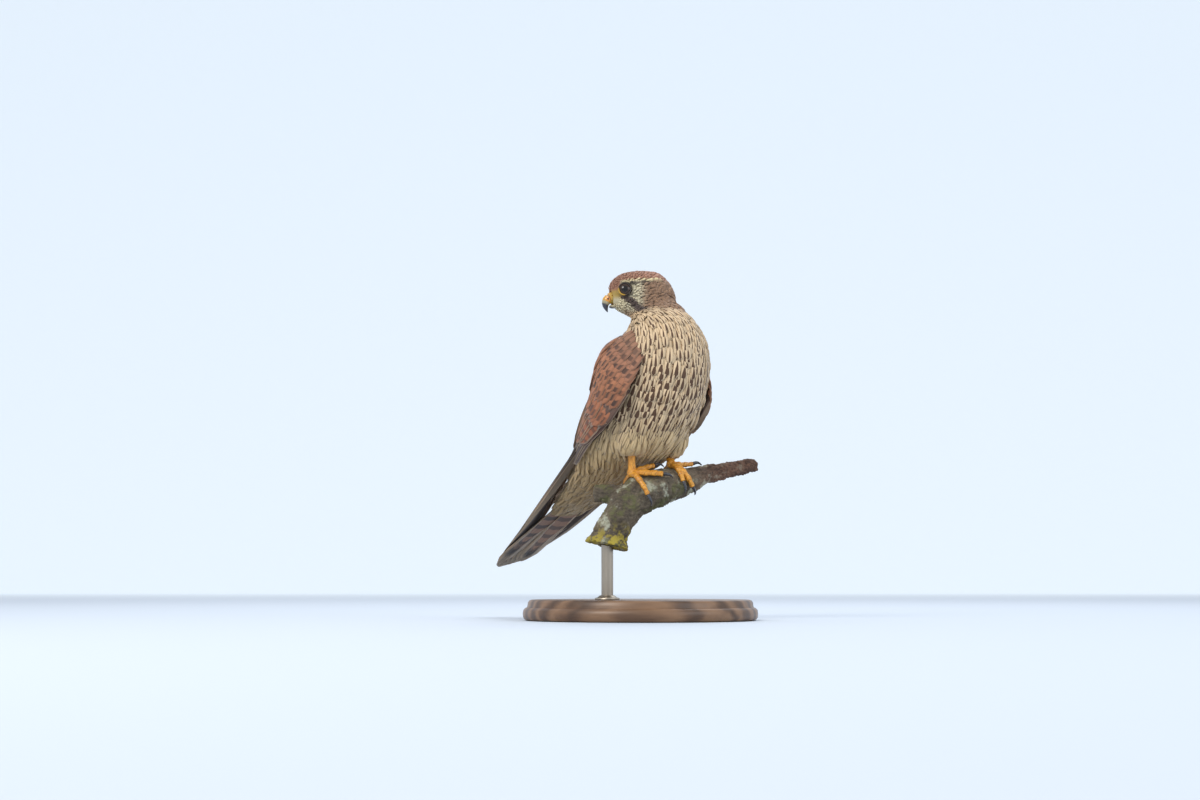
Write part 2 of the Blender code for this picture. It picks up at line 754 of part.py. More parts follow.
def perch(name, grow=0.0, material=None):
    """Rough bark-covered branch with a flared foot, a broken side stub and a thin end."""
    rings = []
    for i in range(PERCH_RINGS):
        key = (len(PERCH) - 1) * i / (PERCH_RINGS - 1)
        middle, tangent, top, front, radius = perch_frame(key)
        middle = middle - tangent * (grow if i == 0 else 0.0)
        ring = []
        for j in range(PERCH_SIDES):
            turn = 2.0 * math.pi * j / PERCH_SIDES
            out = top * math.cos(turn) + front * math.sin(turn)
            point = middle + out * radius
            bump = noise.noise(point * 0.16 + Vector((SEED, 0.0, 0.0))) * PERCH_ROUGHNESS
            bump *= radius / 10.0
            ring.append(point + out * (bump + grow))
        rings.append(ring)
    branch = loft(name, rings, material)
    stub_rings = []
    for i in range(5):
        right, away, up, radius = rows_at(SIDE_STUB, 2.0 * i / 4.0)
        middle = STANCE + Vector((right, away, up))
        ring = []
        for j in range(10):
            turn = 2.0 * math.pi * j / 10
            point = middle + Vector((0.0, math.cos(turn), math.sin(turn))) * radius
            bump = noise.noise(point * 0.3) * 0.8
            ring.append(point + Vector((0.0, math.cos(turn), math.sin(turn))) * (bump + grow))
        stub_rings.append(ring)
    join(branch, [loft("stub", stub_rings)])
    return branch


def tube(name, points, radii, sides, material=None):
    """A round bar of changing radius along points."""
    rings = []
    side = None
    for i, point in enumerate(points):
        ahead = points[min(i + 1, len(points) - 1)]
        behind = points[max(i - 1, 0)]
        tangent = (ahead - behind).normalized()
        if side is None:
            side = tangent.orthogonal()
        side = (side - tangent * side.dot(tangent)).normalized()
        other = tangent.cross(side)
        ring = []
        for j in range(sides):
            turn = 2.0 * math.pi * j / sides
            ring.append(point + (side * math.cos(turn) + other * math.sin(turn)) * radii[i])
        rings.append(ring)
    return loft(name, rings, material)


def make_foot(word, skin, horn):
    """Bare lower leg, four toes bent over the bark, and their claws."""
    hub_key = FOOT_MARK[word]
    hub = perch_at(hub_key, 4.0, TARSUS_RADIUS + GAP)
    top = bird(*TARSUS_TOP[word])
    shank = [top.lerp(hub, i / 4.0) for i in range(5)]
    foot = tube("foot_" + word, shank, [2.9, 2.5, 2.4, 2.7, 3.2], 10, skin)
    pieces = [ball("pad", hub, 3.5, 12)]
    for toe, (start, end, first, last, radius) in TOES[word].items():
        points = []
        radii = []
        steps = 6
        for i in range(steps + 1):
            k = i / steps
            key = start + (end - start) * k
            turn = first + (last - first) * k
            swell = 1.0 + 0.13 * math.cos(k * 6.0 * math.pi)
            size = radius * (1.0 - 0.22 * k) * swell
            lift = 1.6 * (1.0 - k) * math.exp(-3.0 * k)
            points.append(perch_at(key, turn, radius * 0.82 + GAP + lift))
            radii.append(size)
        points[0] = hub.copy()
        pieces.append(tube("toe", points, radii, 6))
        make_claw("claw_" + word + "_" + toe, points, end, horn)
    join(foot, pieces)
    return foot


def make_claw(name, points, key, horn):
    """A curved claw that leaves the toe's end, arches and comes down to the bark."""
    middle = points[-1]
    tangent = (points[-1] - points[-2]).normalized()
    outward = middle - perch_frame(key)[0]
    outward = (outward - tangent * outward.dot(tangent)).normalized()
    middle = middle + outward * CLAW_RISE
    arc = [middle + tangent * GAP]
    radii = [CLAW_RADIUS]
    steps = 5
    for i in range(steps + 1):
        k = i / steps
        reach = CLAW_LENGTH * math.sin(k * CLAW_BEND) / CLAW_BEND
        fall = CLAW_LENGTH * (1.0 - math.cos(k * CLAW_BEND)) / CLAW_BEND
        rise = CLAW_ARCH * math.sin(k * math.pi) - fall * CLAW_DROP
        arc.append(middle + tangent * (GAP + CLAW_COLLAR + reach) + outward * rise)
        radii.append(CLAW_RADIUS * (1.0 - k) ** 0.75 + CLAW_POINT)
    claw = tube(name, arc, radii, 5, horn)
    cut(claw, [perch("perch_room", GAP)])


def make_stand(wood, metal):
    """Round wooden base with one short rod into the foot of the perch."""
    mesh = bmesh.new()
    bmesh.ops.create_cone(mesh, cap_ends=True, segments=40, radius1=BASE_RADIUS * MM,
                          radius2=BASE_RADIUS * MM, depth=BASE_HEIGHT * MM)
    data = bpy.data.meshes.new("stand_base")
    mesh.to_mesh(data)
    mesh.free()
    data.materials.append(wood)
    base = bpy.data.objects.new("stand_base", data)
    base.location = (0.0, 0.0, BASE_HEIGHT * MM / 2.0)
    COLLECTION.objects.link(base)
    edge = base.modifiers.new("edge", "BEVEL")
    edge.width = 2.0 * MM
    edge.segments = 1
    edge.limit_method = "ANGLE"
    foot = STANCE + Vector(PERCH[0][:3])
    low = BASE_HEIGHT + GAP
    points = [Vector((foot.x, foot.y, low)), Vector((foot.x, foot.y, foot.z + 10.0))]
    rod = tube("stand_rod", points, [ROD_RADIUS, ROD_RADIUS], 16, metal)
    cut(rod, [perch("perch_room", GAP)])
    return base


def main():
    for thing in list(bpy.data.objects):
        bpy.data.objects.remove(thing)
    bpy.context.scene.collection.children.link(COLLECTION)
    buff = paint("buff_feathers", (0.62, 0.50, 0.34), 0.85)
    rufous = paint("rufous_feathers", (0.36, 0.20, 0.12), 0.8)
    grey_brown = paint("head_feathers", (0.32, 0.23, 0.17), 0.85)
    skin = paint("orange_skin", (0.85, 0.38, 0.05), 0.5)
    yellow = paint("yellow_skin", (0.80, 0.52, 0.10), 0.45)
    horn = paint("dark_horn", (0.05, 0.05, 0.07), 0.3)
    eye = paint("eye", (0.03, 0.015, 0.01), 0.05)
    bark = paint("bark", (0.20, 0.16, 0.11), 0.9)
    wood = paint("stand_wood", (0.30, 0.17, 0.09), 0.4)
    metal = paint("stand_metal", (0.45, 0.42, 0.38), 0.35, 1.0)
    make_torso(buff)
    make_head(grey_brown, yellow, horn, eye)
    make_neck(buff)
    make_tail(rufous)
    for side, word in ((-1, "right"), (1, "left")):
        make_wing(word, side, rufous)
        leg = thigh("thigh_" + word, side, 0.0, buff)
        foot = make_foot(word, skin, horn)
        cut(leg, [torso_room()], FEATHER_SOLVER)
        cut(foot, [thigh("thigh_room", side, GAP), perch("perch_room", GAP)])
    perch("perch", 0.0, bark)
    make_stand(wood, metal)
    for thing in COLLECTION.objects:
        thing.data.shade_smooth()
        thing.data.set_sharp_from_angle(angle=math.radians(40.0))


main()
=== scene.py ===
import math
from functools import partial

import bmesh
import bpy
import numpy as np
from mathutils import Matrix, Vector, noise
from mathutils.bvhtree import BVHTree


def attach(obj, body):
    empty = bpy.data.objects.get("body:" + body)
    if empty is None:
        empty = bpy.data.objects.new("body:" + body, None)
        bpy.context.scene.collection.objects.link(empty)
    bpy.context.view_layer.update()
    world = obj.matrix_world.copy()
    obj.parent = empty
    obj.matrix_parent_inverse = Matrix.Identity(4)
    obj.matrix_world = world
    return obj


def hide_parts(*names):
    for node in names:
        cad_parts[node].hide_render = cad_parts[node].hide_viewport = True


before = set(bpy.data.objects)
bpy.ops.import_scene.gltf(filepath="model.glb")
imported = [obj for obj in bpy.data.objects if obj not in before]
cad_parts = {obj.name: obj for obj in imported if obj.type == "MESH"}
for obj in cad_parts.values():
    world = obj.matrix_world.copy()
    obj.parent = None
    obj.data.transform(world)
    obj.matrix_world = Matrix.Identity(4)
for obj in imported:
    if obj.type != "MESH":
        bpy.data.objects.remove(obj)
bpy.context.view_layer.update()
MM = 0.001
MERGE = 1e-6

# Stand base
# A round of oiled walnut turned on a lathe, 160 mm across and 14 mm thick, with a rounded foot
# and a small step under its top. It rests on the floor and carries the rod.

BASE_PROFILE = (
    (0.0, 0.0), (76.5, 0.0), (78.6, 0.7), (79.6, 2.2), (79.9, 4.6), (79.6, 6.9), (78.4, 8.3),
    (77.0, 8.9), (76.7, 10.2), (76.4, 12.2), (75.4, 13.5), (73.8, 14.0), (0.0, 14.0),
)


class Wire:
    """A socket among a material's nodes; arithmetic on it adds Math nodes."""

    def __init__(self, tree, socket=None):
        self.tree = tree
        self.socket = socket

    def node(self, kind, inputs=None, output=0, **settings):
        """Any shader node by type, settings and the values or links of its sockets."""
        made = self.tree.nodes.new("ShaderNode" + kind)
        stops = settings.pop("stops", ())
        for name, value in settings.items():
            setattr(made, name, value)
        if stops:
            ramp = made.color_ramp.elements
            ramp.remove(ramp[1])
            ramp[0].position = stops[0][0]
            ramp[0].color = (*stops[0][1], 1.0)
            for place, colour in stops[1:]:
                ramp.new(place).color = (*colour, 1.0)
        for key, value in (inputs or {}).items():
            socket = made.inputs[key]
            if isinstance(value, Wire):
                self.tree.links.new(value.socket, socket)
            elif socket.type == "RGBA":
                socket.default_value = (*value, 1.0)
            else:
                socket.default_value = value
        return Wire(self.tree, made.outputs[output])

    def sum(self, operation, *values):
        return self.node("Math", dict(enumerate(values)), operation=operation)

    def __add__(self, other):
        return self.sum("ADD", self, other)

    def __radd__(self, other):
        return self.sum("ADD", other, self)

    def __sub__(self, other):
        return self.sum("SUBTRACT", self, other)

    def __rsub__(self, other):
        return self.sum("SUBTRACT", other, self)

    def __mul__(self, other):
        return self.sum("MULTIPLY", self, other)

    def __rmul__(self, other):
        return self.sum("MULTIPLY", other, self)

    def ease(self, low, high):
        """Nought below the low value, one above the high one and smooth between."""
        return self.node("MapRange", {0: self, 1: low, 2: high}, interpolation_type="SMOOTHSTEP")

    def blend(self, under, over):
        """The under colour where this value is nought, the over colour where it is one."""
        return self.node("Mix", {0: self, 6: under, 7: over}, 2, data_type="RGBA")

    def place(self, stretch=(1.0, 1.0, 1.0), turn=(0.0, 0.0, 0.0)):
        """The piece's own coordinates in metres, stretched and turned."""
        own = self.node("TexCoord", output=3)
        return self.node("Mapping", {0: own, 2: turn, 3: stretch})

    def axis(self, index):
        """One of the piece's own coordinates in metres."""
        return self.node("SeparateXYZ", {0: self.place()}, index)

    def away(self, spot):
        """How far the piece's own coordinates are from a spot, in metres."""
        ends = {0: self.place(), 1: tuple(spot)}
        return self.node("VectorMath", ends, 1, operation="DISTANCE")

    def stored(self, name, output=0):
        """A colour kept on the mesh, or its alpha where the output is 3."""
        return self.node("Attribute", output=output, attribute_name=name)

    def grain(self, where, scale, detail=4.0, rough=0.6):
        """Smooth noise from nought to one."""
        values = {"Vector": where, "Scale": scale, "Detail": detail, "Roughness": rough}
        return self.node("TexNoise", values)

    def feed(self, socket):
        """Links this value to the material's shader."""
        shader = self.tree.nodes["Principled BSDF"]
        self.tree.links.new(self.socket, shader.inputs[socket])


def finish(name, fixed):
    """A Principled material with its fixed values set on the shader's sockets."""
    material = bpy.data.materials.new(name)
    material.use_nodes = True
    shader = material.node_tree.nodes["Principled BSDF"]
    for socket, value in fixed.items():
        shader.inputs[socket].default_value = value
    return material, Wire(material.node_tree)


def bump(height, strength, depth):
    """Links a height to the shader's normal; the depth is in metres."""
    values = {"Height": height, "Strength": strength, "Distance": depth}
    height.node("Bump", values).feed("Normal")


def set_out(thing, material, slot, *replaced):
    """Gives a finished piece its material, puts it under the root and hides the CAD nodes it replaces; the
    slot is not used.
    """
    if material:
        thing.data.materials.clear()
        thing.data.materials.append(material)
    if thing.users_collection == ():
        bpy.context.scene.collection.objects.link(thing)
    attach(thing, "root")
    if replaced:
        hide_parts(*replaced)


def made(name, mesh, sharp=None):
    """An object from a bmesh, shaded smooth."""
    data = bpy.data.meshes.new(name)
    mesh.to_mesh(data)
    mesh.free()
    data.shade_smooth()
    if sharp:
        data.set_sharp_from_angle(angle=math.radians(sharp))
    return bpy.data.objects.new(name, data)


def turned(profile, steps, centre=(0.0, 0.0, 0.0)):
    """A lathe-turned shape from radius and height pairs in millimetres."""
    mesh = bmesh.new()
    line = [mesh.verts.new((radius * MM, 0.0, height * MM)) for radius, height in profile]
    edges = [mesh.edges.new(pair) for pair in zip(line, line[1:])]
    bmesh.ops.spin(mesh, geom=line + edges, cent=(0, 0, 0), axis=(0, 0, 1), dvec=(0, 0, 0),
                   angle=2.0 * math.pi, steps=steps, use_merge=True)
    bmesh.ops.remove_doubles(mesh, verts=mesh.verts, dist=MERGE)
    bmesh.ops.recalc_face_normals(mesh, faces=mesh.faces)
    bmesh.ops.translate(mesh, vec=Vector(centre) * MM, verts=mesh.verts)
    return mesh


walnut, wire = finish("oiled_walnut", {"Coat Roughness": 0.25, "Coat Weight": 0.12})
warp = wire.grain(wire.place((3.0, 14.0, 14.0)), 2.0, 3.0)
lines = wire.grain(wire.place((6.0, 90.0, 90.0)), 3.0, 6.0, 0.7)
across = wire.axis(1)
rings = wire.sum("SINE", across * 420.0 + warp * 16.0)
figure = (rings * 0.5 + 0.5) * 0.55 + lines * 0.45
figure.node("ValToRGB", {0: figure}, stops=(
    (0.15, (0.055, 0.026, 0.012)), (0.45, (0.115, 0.058, 0.028)), (0.8, (0.215, 0.118, 0.060)),
)).feed("Base Color")
(0.30 + lines * 0.22).feed("Roughness")
bump(figure, 0.25, 0.0004)
set_out(made("stand_base_turned", turned(BASE_PROFILE, 96), 35.0), walnut, "stand_wood", "stand_base")

# Stand rod
# A straight bar of brushed bronze-grey metal, 8 mm thick, from the base into the foot of the
# branch, with a low turned collar that hides the hole it is glued into.

ROD_PLACE = (-22.5, -15.0, 14.0)
COLLAR_PROFILE = (
    (4.1, 0.0), (8.4, 0.0), (8.6, 0.5), (8.2, 1.3), (6.4, 1.8), (5.6, 2.6), (4.9, 3.0), (4.1, 3.0),
    (4.1, 0.0),
)

bronze, wire = finish("brushed_bronze", {"Metallic": 1.0})
scratches = wire.grain(wire.place((260.0, 260.0, 18.0)), 8.0, 5.0, 0.7)
scratches.blend((0.30, 0.26, 0.21), (0.46, 0.41, 0.34)).feed("Base Color")
(0.26 + scratches * 0.2).feed("Roughness")
bump(scratches, 0.12, 0.0002)
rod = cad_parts["stand_rod"]
rod.data.materials.clear()
rod.data.materials.append(bronze)
set_out(made("stand_rod_collar", turned(COLLAR_PROFILE, 48, ROD_PLACE), 35.0), bronze, "stand_metal")

# Perch
# A cut length of dead branch with rough grey-brown bark, a flared foot, the stub of a broken
# side shoot and pale lichen. The wood shows at the sawn ends; the feet grip its crown.

STANCE = Vector((6.0, 0.0, 104.0))
FEET = (Vector((-3.0, -4.0, 106.0)), Vector((27.0, 9.0, 108.0)))
BARK_VOXEL, GRIP_CLEAR, GRIP_BLEND = 0.8, 13.0, 8.0


def gathered(names):
    """Copies of CAD nodes in one bmesh."""
    mesh = bmesh.new()
    for name in names:
        mesh.from_mesh(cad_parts[name].data)
    bmesh.ops.remove_doubles(mesh, verts=mesh.verts, dist=MERGE)
    return mesh


def spots_of(mesh):
    """The vertices of a bmesh, in millimetres."""
    return np.array([spot.co for spot in mesh.verts]) / MM


def smooth(mesh, rounds):
    """Evens out a bmesh."""
    for _ in range(rounds):
        bmesh.ops.smooth_vert(mesh, verts=mesh.verts, factor=0.5, use_axis_x=True,
                              use_axis_y=True, use_axis_z=True)
    mesh.normal_update()


def cast(names, voxel, rounds):
    """One closed surface over copies of CAD nodes, in metres, smoothed."""
    return remade(gathered(names), voxel, 0.0, rounds)


def remade(mesh, voxel, swell, rounds):
    """A bmesh swelled a little, made anew in even voxels and smoothed."""
    mesh.normal_update()
    for spot in mesh.verts:
        spot.co += spot.normal * swell * MM
    helper = made("helper", mesh)
    bpy.context.scene.collection.objects.link(helper)
    even = helper.modifiers.new("even", "REMESH")
    even.mode = "VOXEL"
    even.voxel_size = voxel * MM
    graph = bpy.context.evaluated_depsgraph_get()
    result = bpy.data.meshes.new_from_object(helper.evaluated_get(graph))
    bpy.data.objects.remove(helper)
    mesh = bmesh.new()
    mesh.from_mesh(result)
    smooth(mesh, rounds)
    return mesh


branch = cast(("perch",), BARK_VOXEL, 2)
for spot in branch.verts:
    here = spot.co / MM
    clear = min((here - foot).length for foot in FEET)
    rough = 0.25 + 0.75 * min(1.0, max(0.0, (clear - GRIP_CLEAR) / GRIP_BLEND))
    plates = noise.fractal(here * 0.11, 0.9, 2.2, 3)
    fissures = abs(noise.noise(Vector((here.x * 0.16, here.y * 0.3, here.z * 0.3)) + Vector((7, 3, 5))))
    pimples = max(0.0, noise.noise(here * 0.9) - 0.25)
    spot.co += spot.normal * (plates * 1.1 - (0.22 - min(fissures, 0.22)) * 4.2 + pimples * 1.1) * rough * MM

bark, wire = finish("lichened_bark", {"Roughness": 0.9})
wide = wire.grain(wire.place(), 55.0, 5.0)
fine = wire.grain(wire.place((1.0, 1.6, 1.6)), 420.0, 5.0, 0.7)
patch = wire.grain(wire.place(), 110.0, 3.0, 0.5)
along = wire.axis(0)
wood = (wide * 0.7 + fine * 0.45).ease(0.42, 0.78).blend((0.052, 0.040, 0.028), (0.205, 0.165, 0.112))
russet = along.ease(0.030, 0.058).blend(wood, (wide * 0.5 + fine * 0.6).ease(0.4, 0.75).blend(
    (0.045, 0.024, 0.017), (0.215, 0.112, 0.070)))
pale = (patch.ease(0.56, 0.66) * (1.0 - along.ease(0.030, 0.060) * 0.75) * fine.ease(0.25, 0.5))
green = wire.grain(wire.place(), 75.0, 4.0).ease(0.5, 0.62) * (1.0 - along.ease(0.022, 0.052))
mossy = (green * 0.65).blend(russet, (0.115, 0.120, 0.040))
lichen = (pale * 0.8).blend(mossy, (0.42, 0.43, 0.33))
gold = (1.0 - wire.axis(2).ease(0.052, 0.068)) * wire.grain(wire.place(), 160.0, 3.0).ease(0.46, 0.58)
(gold * 0.8).blend(lichen, (0.42, 0.33, 0.035)).feed("Base Color")
bump(wide * 0.6 + fine * 0.8 + pale * 0.35, 0.7, 0.0009)
set_out(made("perch_bark", branch), bark, "bark", "perch")

# Skin
# The bird's flesh in one piece: head, neck, body, rump and thighs, without a seam. It lies
# under the plumage by the depth of the feathers and carries the same markings as they do,
# darkened as painted shade where it shows between them.

HEADING = math.radians(-50.0)
FORWARD = Vector((math.cos(HEADING), math.sin(HEADING), 0.0))
LEFT = Vector((-math.sin(HEADING), math.cos(HEADING), 0.0))
UP = Vector((0.0, 0.0, 1.0))
HEAD_TURN = math.radians(12.0)
HEAD_CENTRE = STANCE + Vector((-12.9, -6.0, 124.3))
HEAD_AHEAD = Vector((-math.cos(HEAD_TURN), -math.sin(HEAD_TURN), 0.0))
HEAD_LEFT = UP.cross(HEAD_AHEAD)
# Body from the tail to the neck: forward, up, half width, depth of back and of belly
BODY = np.array((
    (-98.0, -30.5, 13.0, 2.6, 2.6), (-78.0, -20.5, 17.0, 6.5, 5.5), (-59.0, -9.5, 22.5, 11.0, 11.0),
    (-42.0, 3.0, 28.0, 15.5, 15.5), (-26.0, 17.0, 32.5, 24.0, 23.0), (-8.0, 36.0, 36.0, 32.0, 33.0),
    (4.0, 58.0, 36.5, 34.5, 39.0), (12.5, 79.0, 34.0, 33.0, 35.0), (11.0, 95.0, 24.5, 25.0, 25.0),
    (4.5, 107.5, 16.0, 16.5, 16.5), (0.0, 118.0, 10.5, 10.5, 10.5),
))
# The last value darkens the skin's colour: painted shade in the gaps between the feathers.
SKIN_VOXEL, SKIN_SWELL, SKIN_ROUNDS, SKIN_SINK, SKIN_PAINTED_SHADE = 1.15, 0.25, 7, 0.15, 0.8
RUMP_RINGS, RING_SIDES = (0.15, 3.2, 12), 28
# Heights over the stance, and places along and round the body, between which the plumage changes
LEG_RISE, BELLY_RISE, FLANK_RISE = (8.0, 26.0), (20.0, 46.0), (22.0, 46.0)
CHEST_RISE, NECK_RISE = (100.0, 70.0), (106.0, 92.0)
RUMP_KEYS, VENT_KEYS, BACK_ROUND = (2.2, 3.6), (2.6, 4.0), (62.0, 84.0)
# The border of the head: its height at the nape, its drop towards the chin and its blend
HEAD_BORDER, HEAD_DROP, HEAD_BLEND = -17.0, 8.0, 1.6


def rows_at(rows, keys):
    """A smooth curve through rows of numbers, read at many row counts."""
    last = len(rows) - 1
    keys = np.clip(np.asarray(keys, float), 0.0, last)
    i = np.minimum(keys.astype(int), last - 1)
    k = (keys - i)[:, None]
    a, b, c, d = (rows[np.clip(i + step, 0, last)] for step in (-1, 0, 1, 2))
    return 0.5 * (2 * b + (c - a) * k + (2 * a - 5 * b + 4 * c - d) * k ** 2
                  + (3 * b - a - 3 * c + d) * k ** 3)


def bird(forward, left, up):
    """A place in the bird's own directions, in millimetres from the stance."""
    return STANCE + FORWARD * forward + LEFT * left + UP * up


def head_at(ahead, left, up):
    """A place in the head's own directions, in millimetres from between the eyes."""
    return HEAD_CENTRE + HEAD_AHEAD * ahead + HEAD_LEFT * left + UP * up


def soft(values, low, high):
    """Nought below the low value, one above the high one and smooth between."""
    k = np.clip((values - low) / (high - low), 0.0, 1.0)
    return k * k * (3.0 - 2.0 * k)


SPINE_KEYS = np.linspace(0.0, 10.0, 201)
SPINE = rows_at(BODY, SPINE_KEYS)
SPINE_WAY = np.gradient(SPINE[:, :2], axis=0)
SPINE_WAY /= np.linalg.norm(SPINE_WAY, axis=1)[:, None]


def survey(places):
    """Where places in millimetres lie on the bird: along and round the body, and on the head."""
    away = places - np.array(STANCE)
    forward, left = away @ np.array(FORWARD), away @ np.array(LEFT)
    gaps = (forward[:, None] - SPINE[:, 0]) ** 2 + (away[:, 2:3] - SPINE[:, 1]) ** 2
    near = gaps.argmin(axis=1)
    way = SPINE_WAY[near]
    rear = (away[:, 2] - SPINE[near, 1]) * way[:, 0] - (forward - SPINE[near, 0]) * way[:, 1]
    turn = np.degrees(np.arctan2(left, rear))
    towards = places - np.array(HEAD_CENTRE)
    return {
        "key": SPINE_KEYS[near], "turn": turn, "round": np.abs(turn), "way": way, "up": away[:, 2],
        "ahead": towards @ np.array(HEAD_AHEAD), "side": towards @ np.array(HEAD_LEFT),
        "rise": towards[:, 2],
    }


def on_head(at):
    """One on the head, nought on the neck, with the border that runs from chin to nape."""
    border = HEAD_BORDER - HEAD_DROP * soft(at["ahead"], -12.0, 8.0)
    return soft(at["rise"], border - HEAD_BLEND, border + HEAD_BLEND) * soft(at["ahead"], -46.0, -38.0)


def coat_depth(at):
    """How deep the plumage is over the skin, in millimetres."""
    legs = 1.0 - soft(at["up"], *LEG_RISE)
    body = 3.2 - 0.5 * soft(at["up"], 84.0, 104.0) - 1.1 * legs * soft(at["round"], 60, 110)
    tail = soft(at["key"], 0.6, 2.4)
    head = 1.5 - 0.7 * soft(at["ahead"], -2.0, 9.0)
    on = on_head(at)
    return (body * (0.35 + 0.65 * tail)) * (1.0 - on) + head * on


FLESH = ("torso", "neck", "head", "thigh_left", "thigh_right")
flesh = gathered(FLESH)
rings = []
for key in np.linspace(*RUMP_RINGS):
    forward, up, width, back, belly = rows_at(BODY, [key])[0]
    way = rows_at(BODY, [key + 0.05])[0] - rows_at(BODY, [key - 0.05])[0]
    slope = math.atan2(way[1], way[0])
    rings.append(bmesh.ops.create_circle(flesh, cap_ends=False, segments=RING_SIDES, radius=1.0)["verts"])
    for spot in rings[-1]:
        depth = back if spot.co.y > 0.0 else belly
        rise = spot.co.y * depth
        spot.co = bird(forward - math.sin(slope) * rise, spot.co.x * width, up + math.cos(slope) * rise) * MM
for ring, following in zip(rings, rings[1:]):
    edges = {edge for loop in (ring, following) for spot in loop for edge in spot.link_edges
             if edge.other_vert(spot) in loop}
    bmesh.ops.bridge_loops(flesh, edges=list(edges))
ends = [edge for edge in flesh.edges if edge.is_boundary]
bmesh.ops.holes_fill(flesh, edges=ends)
bmesh.ops.recalc_face_normals(flesh, faces=flesh.faces)
skin = remade(flesh, SKIN_VOXEL, SKIN_SWELL, SKIN_ROUNDS)
for spot, depth in zip(skin.verts, coat_depth(survey(spots_of(skin)))):
    spot.co -= spot.normal * (depth + SKIN_SINK) * MM
smooth(skin, 2)
skin_tree = BVHTree.FromBMesh(skin)
skin_places = spots_of(skin)
face_corners = [[spot.index for spot in face.verts] for face in skin.faces]
spot_normals = np.array([spot.normal for spot in skin.verts])
face_normals = [Vector(spot_normals[corners].mean(axis=0)).normalized() for corners in face_corners]


def dye(red, green, blue):
    """A linear colour from the nought to 255 values of a paint card."""
    card = np.array((red, green, blue)) / 255.0
    return np.where(card <= 0.04045, card / 12.92, ((card + 0.055) / 1.055) ** 2.4)


EYE_AHEAD, EYE_SIDE, EYE_RISE = 5.2, 8.6, -3.7
# The pale brow's height and climb; the moustache's start ahead of and below the eye, its slant
# and how much that narrows it
BROW_RISE, BROW_CLIMB = 1.6, 0.045
LASH_AHEAD, LASH_DROP, LASH_SLANT, LASH_SQUEEZE = 0.9, 5.1, 1.3, 0.61
BUFF, STREAK = dye(208, 182, 146), dye(82, 56, 36)
# The vent's colour is its own duskier buff, darkened further as painted shade of the underside.
BELLY, THIGH, VENT_WITH_SHADE = dye(196, 170, 126), dye(186, 157, 112), dye(160, 136, 98)
THROAT, CHIN, CHEEK = dye(216, 186, 146), dye(214, 202, 166), dye(196, 186, 156)
CROWN, CROWN_MARK = dye(164, 116, 92), dye(96, 62, 48)
EAR, NAPE, EAR_MARK = dye(146, 114, 88), dye(148, 112, 84), dye(96, 70, 54)
MOUSTACHE, BROW, LORE, EYE_RIM = dye(84, 70, 64), dye(206, 190, 148), dye(186, 154, 72), dye(52, 42, 36)
MANTLE, MANTLE_MARK = dye(158, 98, 64), dye(54, 32, 27)
RUMP, RUMP_MARK = dye(150, 116, 90), dye(70, 50, 40)


def wash(under, over, cover):
    """One colour laid over another with a cover from nought to one at each place."""
    return under * (1.0 - cover[:, None]) + np.asarray(over) * cover[:, None]


